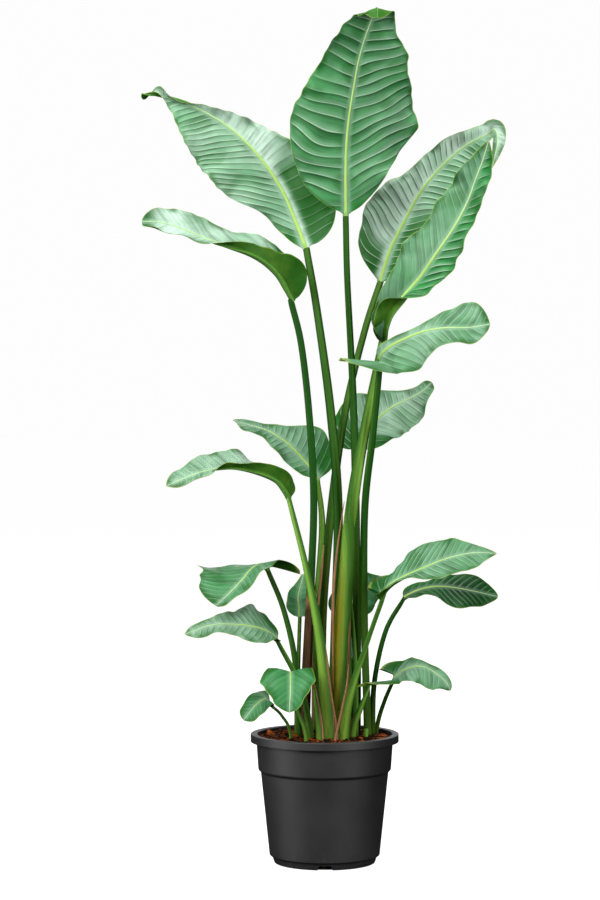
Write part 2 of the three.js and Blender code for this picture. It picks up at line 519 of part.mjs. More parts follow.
function potSolid() {
  const { height, wall, rimRadius, rimBand, shoulder, footHeight, footRadius } = POT;
  const band = height - rimBand;
  const profile = [
    [0, 0], [footRadius, 0], [footRadius + 4, footHeight], [POT.bodyFoot, footHeight + 2],
    [POT.bodyRadius, shoulder - 4], [POT.collarFoot, shoulder], [POT.collarRadius, band],
    [POT.collarRadius, height - wall], [rimRadius - wall, height - wall], [rimRadius - wall, band],
    [rimRadius, band], [rimRadius, height - 1], [rimRadius - 1, height],
    [innerRadius(height) + 1, height], [innerRadius(height - 3), height - 3],
    [innerRadius(shoulder + 1), shoulder + 1], [innerRadius(shoulder - 4), shoulder - 4],
    [innerRadius(footHeight + 3), footHeight + 3], [innerRadius(footHeight), footHeight],
    [innerRadius(POT.floor), POT.floor], [0, POT.floor],
  ];
  let pot = toManifold(turned(profile));
  const { count, width, height: tall, taper } = NOTCH;
  const half = width / 2;
  const outline = [
    [-half, -5], [half, -5], [half, 0], [half - taper, tall], [taper - half, tall], [-half, 0],
  ];
  const shape = new THREE.Shape(outline.map(([x, y]) => new THREE.Vector2(x, y)));
  for (let k = 0; k < count; k++) {
    const notch = new THREE.ExtrudeGeometry(shape, { depth: 20, bevelEnabled: false })
      .rotateX(Math.PI / 2).translate(0, -footRadius + 8, 0).rotateZ(2 * Math.PI * k / count);
    pot = pot.subtract(toManifold(notch));
  }
  return toGeometry(pot);
}

// ---- Soil ----
const soilTop = (x, y) => {
  const r = Math.hypot(x, y) / innerRadius(SOIL.top);
  const lumps = Math.sin(x * 0.11 + 1.3) * Math.cos(y * 0.13 - 0.4) + 0.6 * Math.sin(x * 0.23 - y * 0.19);
  return SOIL.top + SOIL.mound * (1 - r * r) + SOIL.lumps * lumps * (1 - r ** 6);
};

// A repeatable stream of numbers from 0 to 1.
function seeded(seed) {
  let state = seed;
  return () => {
    state = (state * 1664525 + 1013904223) % 4294967296;
    return state / 4294967296;
  };
}

function soilSolid(stalks) {
  const wallAt = (z) => innerRadius(z) - GAP;
  const { floor, footHeight, shoulder } = POT;
  const profile = [
    [0, floor + GAP], [wallAt(floor + GAP) - 0.1, floor + GAP], [wallAt(footHeight), footHeight],
    [wallAt(footHeight + 3), footHeight + 3 + GAP], [wallAt(shoulder - 4), shoulder - 4],
    [wallAt(shoulder + 1), shoulder + 1 + GAP], [wallAt(SOIL.top), SOIL.top],
    ...SOIL.rings.toReversed().map((share) => [wallAt(SOIL.top) * share, SOIL.top + 1]),
    [0, SOIL.top + 1],
  ];
  const body = turned(profile);
  const position = body.attributes.position;
  for (let i = 0; i < position.count; i++) {
    if (position.getZ(i) > SOIL.top + 0.5) position.setZ(i, soilTop(position.getX(i), position.getY(i)));
  }
  let soil = toManifold(body);
  const random = seeded(7);
  const feet = stalks.map(({ path, wide }) => ({ at: measured(path), reach: wide[0] }));
  let placed = 0;
  while (placed < SOIL.chips) {
    const angle = 2 * Math.PI * random();
    const radius = (innerRadius(SOIL.top) - 12) * Math.sqrt(random());
    const [x, y] = [radius * Math.cos(angle), radius * Math.sin(angle)];
    const size = THREE.MathUtils.lerp(...SOIL.chipSize, random());
    const chip = new THREE.OctahedronGeometry(1).scale(size, size * (0.45 + 0.3 * random()), 3.2)
      .rotateX(0.5 * (random() - 0.5)).rotateZ(Math.PI * random()).translate(x, y, soilTop(x, y) + 0.6);
    const clear = feet.every(({ at, reach }) => {
      const foot = at.at(0.12);
      return Math.hypot(foot.x - x, foot.y - y) > reach * 1.3 + size + 2;
    });
    if (!clear) continue;
    soil = soil.add(toManifold(chip));
    placed++;
  }
  for (const stalk of stalks) soil = soil.subtract(toManifold(stalkSolid(stalk, 2 * GAP)));
  return toGeometry(soil);
}

// ---- The plant ----
const plant = new THREE.Group();

function place(name, geometry, color, roughness) {
  const mesh = new THREE.Mesh(geometry, new THREE.MeshStandardMaterial({ color, roughness, metalness: 0 }));
  mesh.name = name;
  plant.add(mesh);
}

const stalks = Object.fromEntries(Object.entries(LEAVES).map(([name, leaf]) => [name, stalkOf(leaf)]));
place('pot', potSolid(), COLOURS.pot, 0.55);
place('soil', soilSolid([...Object.values(stalks), ...Object.values(SHOOTS)]), COLOURS.soil, 0.95);
for (const [name, leaf] of Object.entries(LEAVES)) {
  place(`stem_${name}`, stalkSolid(stalks[name]), COLOURS.stalk, 0.45);
  place(`leaf_${name}`, bladeSolid(leaf), COLOURS.blade, 0.4);
}
for (const [name, shoot] of Object.entries(SHOOTS)) {
  place(name, stalkSolid(shoot), COLOURS.sheath, 0.6);
}

export default plant;
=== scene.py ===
"""Potted bird of paradise: a nursery pot of bark soil, with broad paddle leaves on long stalks from one
clump.

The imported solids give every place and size. Each solid is replaced by a finer piece worked out from the
same curves: blades with pleats, side veins and a raised midrib, stalks with a channel and dry sheath
margins, a pot with rounded edges, and soil with loose bark. Shapes are worked out in millimetres and put
into meshes in metres.
"""
import math

import bpy
import numpy as np
from bpy.props import FloatProperty, FloatVectorProperty, IntProperty, PointerProperty
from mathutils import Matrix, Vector


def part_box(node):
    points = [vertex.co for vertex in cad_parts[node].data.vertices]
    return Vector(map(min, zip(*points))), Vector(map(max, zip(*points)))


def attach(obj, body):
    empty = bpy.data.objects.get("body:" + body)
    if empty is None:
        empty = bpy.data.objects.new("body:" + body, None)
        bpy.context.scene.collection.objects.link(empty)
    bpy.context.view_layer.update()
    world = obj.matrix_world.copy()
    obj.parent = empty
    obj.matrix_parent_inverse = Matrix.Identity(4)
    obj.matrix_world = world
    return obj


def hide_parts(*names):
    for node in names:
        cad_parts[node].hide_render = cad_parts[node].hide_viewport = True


bl_info = {
    "name": "Potted bird of paradise",
    "version": (1, 0, 0),
    "blender": (4, 5, 0),
    "location": "View3D > Sidebar > Plant",
    "description": "Dresses the packed solids of a potted bird of paradise",
    "category": "Add Mesh",
}

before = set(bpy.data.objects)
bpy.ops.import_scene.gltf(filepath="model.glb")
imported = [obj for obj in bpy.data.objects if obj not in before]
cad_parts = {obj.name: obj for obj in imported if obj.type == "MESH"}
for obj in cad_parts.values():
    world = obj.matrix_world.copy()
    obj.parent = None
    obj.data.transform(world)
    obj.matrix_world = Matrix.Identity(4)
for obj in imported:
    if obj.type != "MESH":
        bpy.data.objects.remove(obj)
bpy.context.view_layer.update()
MM = 0.001

# ---- Places, in millimetres ----
POT_LOW, POT_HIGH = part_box("pot")
POT = {
    "height": POT_HIGH.z / MM,
    "rim_radius": (POT_HIGH.x - POT_LOW.x) / 2 / MM,
    "rim_band": 14,
    "collar_radius": 124.5,  # just under the rim
    "collar_foot": 121,
    "shoulder": 170,  # height of the collar's lower edge
    "undercut": 4,  # height of the step from the body out to the collar
    "body_radius": 116.5,  # just under the collar
    "body_foot": 100.5,
    "step": 2,  # height of the step from the foot out to the body
    "foot_height": 12,
    "foot_radius": 92,
    "flare": 4,  # how much wider the foot is at its top
    "wall": 2.4,
    "floor": 4,
    "rounding": 1.6,  # how far back from a corner its rounding starts
}
# Drainage notches round the foot, whose back walls stand at the radius back.
NOTCH = {"count": 4, "width": 27, "height": 8, "taper": 4, "back": 84}
SOIL = {
    "top": 228,  # where it meets the wall
    "mound": 5,  # how much higher its middle is
    "lumps": 1.6,
}
GAP = 0.3  # clearance between pieces that touch
STALK_FOOT = 150  # height of the stalks' buried ends
CHANNEL = 0.22  # depth of the channel in a stalk's inner side, in half widths
CENTRE = np.array([30.0, 0.0, 0.0])  # the clump's middle, which the stalks' hollow sides face
RIB_TAPER = 0.85  # share of its radius that a midrib loses from base to tip
RIB_KEEL = 1.5  # depth of the midrib under the blade, in rib radii
RIB_RISE = 0.45  # height of the midrib above the blade, in rib radii
RIB_SHOW = 0.55  # share of the midrib's width that stands above the blade
LOBE_CLEAR = 2  # rib radii beside the stalk that the basal lobes leave free
TAIL_OPEN = 18  # half width that a hanging basal lobe keeps at its root
BASE_SHARE = 0.12  # share of the length in which a blade's base rounds out
LINE_GAP = 3.4  # usual distance between a blade's lengthwise lines of points
SWEEP = 0.45  # how far the margins run ahead along the side veins

# ---- The leaves ----
# foot: points of the stalk from its buried end up, x and y at the buried end first.
# stalk: half widths from the foot to the top. flat: depth over width at the foot.
# bow: how far the foot's edges wrap round the clump.
# rib: points of the midrib from the stalk to the tip.
# face: where the blade's upper side looks, base to tip.
# width: half widths from base to tip, left margin then right, seen from above with the tip ahead.
# fold: degrees that each half rises from the rib.
# curl: degrees that it then bends away again, or inwards where below nought.
# lobe: how far each basal lobe runs back, in half widths, or ahead where below nought.
# tail: how far the margin beside the stalk is drawn out sideways, left then right.
# wave: height of the margin's ripples. waves: how many there are.
# tip: share of the length that the tip rounds off in, and how sharply.
USUAL_LEAF = {
    "flat": 0.9, "bow": 1, "fold": [[10, 10, 10], [5, 5, 5]], "curl": [[20, 20, 10], [20, 20, 10]],
    "lobe": [0.3, 0.3], "tail": [None, None], "tip": [0.22, 0.75],
}
LEAVES = {
    "crown": {
        "foot": [[59, 22], [59, 22, 240], [60, 24, 420], [58, 24, 650], [52, 18, 850], [41, 5, 1060]],
        "stalk": [10, 9, 7.5, 7, 6, 5.5], "flat": 0.8, "bow": 3,
        "rib": [[38, 0, 1176], [38, -8, 1276], [42, -14, 1340], [50, -22, 1396], [60, -34, 1452],
                [72, -48, 1494], [84, -60, 1526], [90, -74, 1540], [93, -90, 1538], [93, -98, 1522]],
        "face": [[0, -1, 0.05], [0, -1, 0], [0.05, -1, 0], [0.1, -1, -0.1], [0.1, -1, -0.1],
                 [0.1, -1, -0.1], [0, -0.5, -1], [0, 0.8, -1]],
        "width": [[10, 86, 106, 92, 71, 55, 40, 26], [14, 74, 124, 116, 96, 80, 43, 22]],
        "fold": [[12, 8, 5, 5, 5], [10, 6, 5, 5, 5]],
        "curl": [[15, 20, 20, 20, 20, 0, -60, -120], [15, 25, 25, 20, 20, 0, -60, -120]],
        "lobe": [0.5, 0.45], "wave": [4, 6], "waves": 4.5, "tip": [0.1, 0.5],
    },
    "left_high": {
        "foot": [[14, 4], [14, 4, 240], [19, 4, 430], [24, 6, 640], [11, 14, 820], [-13, 30, 1000]],
        "stalk": [11, 10.5, 9.5, 8.5, 7.5, 6.5], "flat": 0.8, "bow": 2,
        "rib": [[-34, 44, 1120], [-50, 53, 1162], [-77, 64, 1226], [-121, 77, 1291], [-174, 89, 1343],
                [-235, 98, 1381], [-286, 100, 1400], [-337, 92, 1407]],
        "face": [[-0.2, -1, 0.3], [-0.1, -1, 0.3], [0, -1, 0.2], [0, -1, 0.2], [0, -1, 0.2], [0.1, -1, 0.3],
                 [0, -0.9, 0.6], [0, 1, 0.3]],
        "width": [[20, 46, 90, 97, 90, 70, 28, 0], [54, 86, 72, 52, 32, 16, 12, 28]],
        "fold": [[5, 5, 5, 8, 8, 10, 10, 10], [5, 5, 5, 8, 10, 60, 130, 30]],
        "curl": [[10, 20, 10, 10, 40], [10, 10, 10, 10]],
        "lobe": [0.3, 0.5], "wave": [4, 5], "waves": 4.5, "tip": [0.1, 0.5],
    },
    "left_reach": {
        "foot": [[-38, 14], [-38, 14, 240], [-30, 10, 430], [-20, 5, 640], [-27, 0, 800], [-42, -5, 940]],
        "stalk": [14, 12, 9, 7.5, 6.5, 6], "flat": 0.7, "bow": 6,
        "rib": [[-58, -8, 1024], [-69, -18, 1044], [-83, -32, 1067], [-106, -48, 1089], [-135, -64, 1105],
                [-168, -77, 1117], [-213, -89, 1132], [-258, -99, 1150], [-294, -107, 1160],
                [-325, -113, 1161]],
        "face": [[0.8, 0.3, 1], [0.4, 0.3, 1], [0, 0.3, 1], [0, 0.3, 1], [0, -0.1, 1], [0, -0.7, 0.8],
                 [0, -0.9, 0.5], [0, -0.9, 0.4]],
        "width": [[62, 46, 27, 20, 16, 22, 27, 32, 34], [62, 58, 54, 56, 55, 48, 42, 30, 18]],
        "fold": [[60, 60, 60, 60, 30, 0, 0, 0, 0], [75, 75, 75, 75, 50, 20, 5, 0, 0]],
        "curl": [[0, 10, 0, 0, -100, -220], [0, 10, 0, 0]],
        "lobe": [-0.3, -0.3], "wave": [3, 4], "waves": 3, "tip": [0.12, 0.5],
    },
    "right_back": {
        "foot": [[-5, 44], [-5, 44, 240], [-6, 46, 430], [12, 48, 640], [38, 52, 820], [74, 57, 970]],
        "stalk": [11, 10, 8.5, 7.5, 6.5, 6], "flat": 0.8, "bow": 3,
        "rib": [[102, 60, 1060], [121, 74, 1118], [149, 88, 1174], [177, 102, 1225], [217, 118, 1274],
                [262, 137, 1314], [304, 150, 1337], [318, 147, 1346], [323, 141, 1322], [313, 134, 1274]],
        "face": [[-0.2, -1, 0.2], [-0.1, -1, 0.1], [0.1, -1, 0.1], [0.1, -1, 0.1]],
        "width": [[20, 64, 82, 66, 46, 38, 34, 25, 20, 17, 13],
                  [44, 56, 62, 64, 60, 54, 44, 34, 12, 12, 14]],
        "fold": [[5, 5, 10, 20], [20, 20, 20, 20]], "curl": [[20, 20, 10], [10, 10, 10]],
        "lobe": [0.1, 0.3], "wave": [5, 4], "waves": 3.5,
    },
    "right_front": {
        "foot": [[20, -30], [20, -30, 240], [28, -32, 430], [46, -34, 640], [72, -32, 790], [98, -28, 920]],
        "stalk": [18, 17.5, 15, 12.5, 9, 6.5], "flat": 0.6, "bow": 12,
        "rib": [[105, -28, 950], [110, -46, 974], [120, -60, 1000], [139, -68, 1028], [170, -70, 1064],
                [198, -72, 1105], [228, -74, 1149], [253, -76, 1196], [269, -79, 1240], [281, -82, 1272],
                [291, -86, 1306]],
        "face": [[0.2, -0.9, 0.3], [-0.1, -1, 0.3], [-0.3, -1, 0.2], [-0.3, -0.9, 0.2], [0.2, -0.9, 0.3]],
        "width": [[26, 36, 46, 60, 50, 50, 40, 30, 22], [26, 34, 34, 44, 38, 28, 27, 26, 22]],
        "fold": [[50, 30, 15, 10, 10, 10], [150, 135, 40, 12, 10, 10, 10, 10]],
        "curl": [[0, 20, 10, 10], [-20, 0, 20, 20, 10]],
        "lobe": [0.1, 0.1], "wave": [4, 6], "waves": 5,
    },
    "right_mid": {
        "foot": [[78, -2], [78, -2, 240], [72, -8, 430], [72, -24, 640], [86, -50, 780]],
        "stalk": [9, 8, 7.5, 7, 6.5, 5.5], "bow": 2,
        "rib": [[96, -72, 916], [106, -88, 932], [135, -105, 950], [175, -118, 966], [212, -126, 972],
                [256, -130, 973], [291, -131, 979]],
        "face": [[-0.3, -0.8, 0.6], [0, -0.8, 0.7], [0.1, -0.9, 0.6]],
        "width": [[16, 14, 12, 20, 42, 54, 60], [26, 64, 60, 42, 34, 33, 30]],
        "fold": [[30, 20, 10], [0, 0, 0]], "curl": [[20, 10, 10], [20, 30, -10]],
        "lobe": [0.3, 0.6], "tail": [None, [-76, -6, 14]], "wave": [3, 3], "waves": 4,
    },
    "back_mid": {
        "foot": [[50, 66], [50, 66, 240], [44, 74, 430], [52, 84, 620]],
        "stalk": [8, 7, 6, 5, 4.5],
        "rib": [[72, 90, 750], [88, 96, 794], [119, 104, 824], [149, 116, 840], [180, 132, 856],
                [202, 150, 874]],
        "face": [[-0.3, -1, 0.2], [-0.1, -1, 0.3], [0.1, -1, 0.3]],
        "width": [[54, 76, 48, 34, 18, 14, 24], [22, 50, 56, 52, 42, 20, 24]],
        "fold": [[5, 5, 10], [10, 5, 5]],
        "lobe": [0.7, 0.3], "wave": [3, 5], "waves": 3,
    },
    "left_mid": {
        "foot": [[-16, 76], [-16, 76, 240], [-14, 78, 430], [-4, 80, 600]],
        "stalk": [10, 9.5, 9, 7, 4.5], "flat": 0.8, "bow": 3,
        "rib": [[-12, 78, 694], [-22, 82, 712], [-44, 83, 738], [-72, 84, 765], [-104, 90, 785],
                [-137, 98, 795], [-169, 103, 805]],
        "face": [[0.1, -1, 0.3], [0.1, -1, 0.3], [0.2, -0.8, 0.6], [0.2, -0.4, 0.9]],
        "width": [[10, 26, 28, 26, 20, 32, 26], [22, 66, 52, 28, 14, 14, 14]],
        "fold": [[5, 5, 10, 30], [10, 5, 5, 10]], "curl": [[20, 20, 10, 0], [20, 20, 10, 0]],
        "lobe": [0.3, 0.4], "wave": [2, 3], "waves": 3,
    },
    "left_arch": {
        "foot": [[3, -51], [3, -51, 240], [-10, -58, 400], [-34, -60, 540]],
        "stalk": [16, 14, 9.5, 6, 4.5], "flat": 0.4, "bow": 9,
        "rib": [[-64, -50, 668], [-72, -61, 682], [-88, -74, 701], [-122, -87, 715], [-163, -99, 723],
                [-201, -110, 721], [-240, -119, 710], [-282, -128, 692]],
        "face": [[0.3, 0.5, 0.8], [0, 0.3, 1], [0, 0, 1], [-0.2, -0.5, 0.8], [-0.3, -0.8, 0.6]],
        "width": [[24, 24, 20, 15, 18, 18, 16], [14, 56, 66, 46, 36, 28, 28]],
        "fold": [[40, 50, 40, 5, 0], [30, 40, 40, 20, 10]],
        "curl": [[0, 0, 0, 10, 10], [0, 10, 10, 10, 10]],
        "wave": [3, 3], "waves": 4,
    },
    "left_bowed": {
        "foot": [[-49, -24], [-49, -24, 240], [-53, -22, 360], [-74, -19, 460]],
        "stalk": [9, 8, 6, 5, 4.5], "flat": 0.8, "bow": 2,
        "rib": [[-104, -18, 538], [-114, -41, 548], [-132, -66, 541], [-152, -85, 519], [-173, -100, 498],
                [-195, -109, 478]],
        "face": [[0, 0.5, 0.8], [-0.25, -0.2, 0.9], [-0.3, -0.7, 0.7], [-0.4, -0.8, 0.4]],
        "width": [[30, 34, 28, 24, 20, 14, 10], [20, 70, 106, 82, 76, 60, 40]],
        "fold": [[10, 5, 0, 0], [10, 5, 5, 5]], "curl": [[10, 20, 40, 20], [10, 10, 10, 10]],
        "lobe": [0.6, 0.2], "tail": [[44, 6, -14], None], "wave": [2, 2], "waves": 3, "tip": [0.12, 0.5],
    },
    "left_low": {
        "foot": [[-28, -46], [-28, -46, 240], [-44, -44, 325]],
        "stalk": [10, 8, 5.5, 4], "flat": 0.7, "bow": 3,
        "rib": [[-84, -42, 410], [-102, -64, 427], [-128, -84, 438], [-167, -100, 444], [-205, -112, 443],
                [-250, -122, 428]],
        "face": [[0.2, -0.8, 0.8], [0, -0.9, 0.7], [-0.1, -0.9, 0.6]],
        "width": [[16, 30, 38, 22, 18, 20, 16], [30, 50, 44, 26, 18, 14, 14]],
        "fold": [[30, 5, 5], [5, 5, 5]], "curl": [[-20, 20, 10], [20, 20, 10]],
        "lobe": [0.3, 0.5], "wave": [3, 4], "waves": 3,
    },
    "front_small": {
        "foot": [[-34, -78], [-34, -78, 240], [-52, -77, 292]],
        "stalk": [6, 5, 4, 3.5],
        "rib": [[-62, -76, 342], [-62, -92, 358], [-62, -112, 350], [-62, -134, 330], [-64, -150, 292]],
        "face": [[0, -0.2, 1], [0, -0.6, 0.8], [0, -1, 0.4], [0, -1, 0.3]],
        "width": [[24, 40, 44, 38, 28, 22, 20], [16, 44, 54, 48, 36, 28, 22]],
        "fold": [[20, 15, 10], [20, 15, 10]],
        "lobe": [0.6, 0.6], "wave": [1, 1], "waves": 2,
    },
    "left_small": {
        "foot": [[-62, -56], [-62, -56, 240], [-78, -58, 275]],
        "stalk": [4, 3.5, 3, 3], "flat": 1, "bow": 0,
        "rib": [[-96, -62, 296], [-106, -76, 308], [-124, -90, 298], [-146, -100, 272]],
        "face": [[-0.2, -0.6, 0.8], [-0.4, -0.8, 0.6], [-0.5, -0.9, 0.3]],
        "width": [[20, 22, 24, 26, 22, 20, 20], [28, 26, 28, 26, 22, 18, 16]],
        "fold": [[10, 10, 10], [10, 10, 10]],
        "wave": [1, 1], "waves": 2,
    },
    "right_low": {
        "foot": [[34, -62], [34, -62, 240], [52, -62, 330], [80, -60, 420]],
        "stalk": [16, 12, 7.5, 5, 4.5], "flat": 0.4, "bow": 8,
        "rib": [[100, -60, 486], [108, -75, 505], [129, -90, 523], [177, -104, 546], [218, -113, 563],
                [263, -118, 573], [304, -121, 572]],
        "face": [[-0.2, -0.5, 0.9], [-0.1, -0.7, 0.8], [0, -0.8, 0.7]],
        "width": [[26, 32, 54, 52, 38, 18, 12], [16, 20, 20, 36, 36, 32, 20]],
        "fold": [[10, 10, 10], [40, 5, 5]], "curl": [[20, 20, 10], [-30, 20, 10]],
        "lobe": [0.5, 0.3], "tail": [[-24, -4, 8], None], "wave": [2, 3], "waves": 3,
    },
    "right_under": {
        "foot": [[88, 26], [88, 26, 240], [92, 26, 330], [112, 22, 420]],
        "stalk": [7, 6, 5, 4.5, 4],
        "rib": [[144, 16, 482], [160, 16, 491], [183, 17, 499], [211, 19, 502], [242, 21, 499],
                [281, 26, 491], [318, 32, 482]],
        "face": [[-0.2, -0.5, 0.9], [-0.1, -0.7, 0.8], [0, -0.8, 0.7]],
        "width": [[22, 20, 22, 34, 36, 28, 24], [14, 18, 36, 48, 40, 28, 22]],
        "wave": [2, 3], "waves": 3,
    },
    "right_small": {
        "foot": [[86, 42], [97, 48, 240], [110, 32, 290]],
        "stalk": [5, 4.5, 4, 3.5],
        "rib": [[124, -6, 336], [140, -23, 351], [158, -38, 361], [179, -49, 362], [199, -58, 352],
                [217, -65, 337], [226, -70, 322]],
        "face": [[-0.3, -0.6, 0.8], [-0.1, -0.7, 0.8], [0.1, -0.8, 0.7], [0.3, -0.8, 0.6]],
        "width": [[24, 30, 20, 12, 12, 12, 12], [14, 28, 34, 38, 36, 30, 24]],
        "lobe": [0.6, 0.6], "tail": [[-24, 6, 6], [-56, -6, 0]], "wave": [2, 2], "waves": 3,
    },
    "back_left": {
        "foot": [[-49, 54], [-49, 54, 240], [-48, 60, 350]],
        "stalk": [6, 5, 4, 3.5],
        "rib": [[-46, 62, 442], [-46, 66, 457], [-48, 69, 477], [-44, 74, 498], [-38, 84, 520]],
        "face": [[-0.3, -1, 0.2], [-0.3, -1, 0.3], [-0.3, -1, 0.3]],
        "width": [[14, 24, 22, 18, 12, 8, 8], [24, 34, 36, 32, 24, 14, 10]],
        "wave": [2, 2], "waves": 2,
    },
    "back_low": {
        "foot": [[30, 90], [30, 90, 240], [32, 92, 350]],
        "stalk": [7, 6, 5, 4],
        "rib": [[40, 92, 438], [50, 103, 463], [68, 118, 484], [97, 132, 497], [123, 149, 504]],
        "face": [[-0.3, -1, 0.4], [0, -1, 0.5], [0.1, -1, 0.5]],
        "width": [[36, 42, 40, 36, 26, 16, 10], [30, 40, 38, 34, 24, 16, 10]],
        "wave": [2, 2], "waves": 2,
    },
}
LEAVES = {name: {**USUAL_LEAF, **leaf} for name, leaf in LEAVES.items()}

# Old sheaths, a rolled new leaf and a cut stalk, which have no blade: path, half widths, flat and bow.
SHOOTS = {
    "sheath_left": {
        "path": [[-12, -74, 150], [-12, -74, 240], [-18, -74, 285], [-21, -72, 324]],
        "wide": [8, 8, 6, 1.2], "flat": 0.4, "bow": 4,
    },
    "sheath_right": {
        "path": [[52, -38, 150], [52, -38, 240], [66, -42, 285], [82, -44, 326]],
        "wide": [8, 8, 6.5, 1.5], "flat": 0.5, "bow": 4,
    },
    "spear": {
        "path": [[56, -10, 150], [56, -10, 240], [56, -10, 330], [52, -12, 420], [47, -14, 492]],
        "wide": [6, 6, 5.5, 4.5, 1.2], "flat": 0.9, "bow": 0,
    },
    "stub": {
        "path": [[74, -36, 190], [74, -36, 225], [75, -36, 248]],
        "wide": [5.5, 5.5, 5], "flat": 0.8, "bow": 1,
    },
}

# Dry margins that have come away from old sheaths: their path from top to foot and their half widths.
STRIPS = {
    "front": {
        "path": [[35, -45, 661], [27, -47, 609], [20, -48, 555], [15, -48, 492], [14, -48, 410],
                 [15, -48, 320]],
        "wide": [0.6, 1.6, 2.4, 2.6, 1.6, 0.8],
    },
    "left": {"path": [[-2, -20, 580], [-7, -22, 526], [-12, -22, 471]], "wide": [0.8, 3.6, 2.0]},
    "middle": {
        "path": [[1, -66, 404], [6, -69, 350], [13, -71, 299], [20, -72, 259], [22, -72, 222]],
        "wide": [0.6, 1.6, 2.0, 2.2, 2.4],
    },
    "right": {
        "path": [[43, -74, 370], [38, -78, 327], [29, -79, 282], [20, -80, 243], [16, -80, 222]],
        "wide": [0.6, 1.4, 1.8, 2.2, 2.4],
    },
    "low": {
        "path": [[-19, -84, 335], [-12, -86, 298], [-6, -87, 262], [-3, -87, 222]],
        "wide": [0.6, 1.6, 2.0, 2.2],
    },
}
STRIP_SECTION = {"flat": 0.3, "bow": 0.6}

# What each blade looks like close to, with a left and a right value where the sides differ.
# gap: distance between side veins. ahead: how far they lean from square.
# pleat: how far the blade sags between them.
# pale: share of the pale wax colour on the upper side, which is partly painted sheen where that side faces
# the softboxes, or of painted shade below nought.
# green: share of the rib up to which the basal lobes are darkened with painted shade and keep no wax colour.
# dry: how much of the tip is brown. ruffle: height of the margin's small waves.
LOOK_KEYS = ("gap", "ahead", "pleat", "pale", "green", "dry", "ruffle")
LOOKS = {
    "crown": (21, (0.15, 0.55), 1.6, (0.11, 0.15), (-0.1, 0.03), 0.0, 1.2),
    "left_high": ((16, 18), (0.9, 0.05), (1.4, 0.7), (0.42, 1.05), (0.06, 0.34), 0.1, 1.2),
    "left_reach": (14, 0.9, 0.4, 0.82, 0.1, 0.1, 0.6),
    "right_back": (14.5, 0.5, 1.7, (1.0, 0.35), (0.12, 0.28), 0.1, 1.8),
    "right_front": ((20, 18), (1.3, 0.9), (0.8, 2.4), (0.25, 0.02), (0.0, -0.1), 0.2, 1.8),
    "right_mid": (15, 0.8, 0.9, 0.34, -0.2, 0.2, 1.0),
    "back_mid": (13, 0.35, 1.1, 0.6, 0.12, 0.3, 1.2),
    "left_mid": (12, 0.35, 0.9, 0.3, 0.12, 0.1, 0.8),
    "left_arch": (12, 0.35, 0.8, 0.5, -0.1, 0.2, 1.4),
    "left_bowed": (12, 0.6, 0.6, 0.14, 0.1, 0.2, 0.8),
    "left_low": (12, 0.6, 1.0, 0.42, 0.1, 0.1, 1.0),
    "front_small": (12, 0.9, 0.35, 0.06, 0.05, 0.0, 0.4),
    "left_small": (9, 0.7, 0.35, 0.1, 0.05, 0.0, 0.4),
    "right_low": (13, 0.8, 1.1, 0.22, 0.08, 0.3, 0.8),
    "right_under": (13, 0.8, 1.0, -1.0, 0.2, 0.2, 0.8),
    "right_small": (11, 0.7, 0.6, 0.38, 0.05, 0.3, 0.7),
    "back_left": (10, 0.35, 0.4, 0.1, 0.05, 0.1, 0.5),
    "back_low": (10, 0.35, 0.4, 0.1, 0.05, 0.1, 0.5),
}

# How each stalk and shoot is coloured.
# tone: 0 dark green to 1 yellow-green.
# dry: share of the length up to which its sheath's edges are brown.
# olive: how brown one side of its foot is. old: how dead the whole foot is. papery: how dry it is all over.
STALK_KEYS = ("tone", "dry", "olive", "old", "papery")
STALK_LOOKS = {
    "crown": (0.08, 0.0, 0.1, 0, 0),
    "left_high": (0.16, 0.2, 0.2, 0, 0),
    "left_reach": (0.05, 0.3, 0.3, 1.5, 0),
    "right_back": (0.3, 0.1, 0.2, 0, 0),
    "right_front": (0.8, 0.45, 1.0, 0, 0),
    "right_mid": (0.15, 0.0, 0.1, 0, 0),
    "back_mid": (0.2, 0.1, 0.1, 0, 0),
    "left_mid": (0.8, 0.5, 0.4, 0, 0),
    "left_arch": (0.95, 0.35, 0.3, 0, 0),
    "left_bowed": (0.2, 0.2, 0.2, 0, 0),
    "left_low": (0.5, 0.2, 0.2, 0, 0),
    "front_small": (0.5, 0.1, 0.1, 0, 0),
    "left_small": (0.5, 0.1, 0.1, 0, 0),
    "right_low": (0.7, 0.2, 0.2, 0, 0),
    "right_under": (0.1, 0.0, 0.1, 0, 0),
    "right_small": (0.4, 0.1, 0.1, 0, 0),
    "back_left": (0.4, 0.2, 0.2, 0, 0),
    "back_low": (0.4, 0.2, 0.2, 0, 0),
    "sheath_left": (0.6, 0.8, 0.3, 0, 0),
    "sheath_right": (0.6, 0.8, 0.3, 0, 0),
    "spear": (0.5, 0.0, 0.0, 0, 0),
    "stub": (0.7, 0.0, 0.1, 0, 0),
    "strip": (0.9, 0.0, 0.0, 0, 0.85),
}


# ---- Curves ----
def through(values, t):
    """A smooth curve through evenly spaced values, for shares t of the way. Each stretch is the cubic that
    meets the value before and after it and leaves each at half the step between that value's two
    neighbours."""
    p = np.asarray(values, float)
    p = p[:, None] if p.ndim == 1 else p
    last = len(p) - 1
    place = np.clip(t, 0, 1) * last
    i = np.minimum(place.astype(int), last - 1)
    f = (place - i)[..., None]
    padded = np.vstack([2 * p[0] - p[1], p, 2 * p[-1] - p[-2]])
    a, b, c, d = (padded[i + k] for k in range(4))
    return b + 0.5 * f * ((c - a) + f * ((2 * a - 5 * b + 4 * c - d) + f * (3 * b - a - 3 * c + d)))


def number_through(values, t):
    """The same curve through plain numbers."""
    return through(values, t)[..., 0]


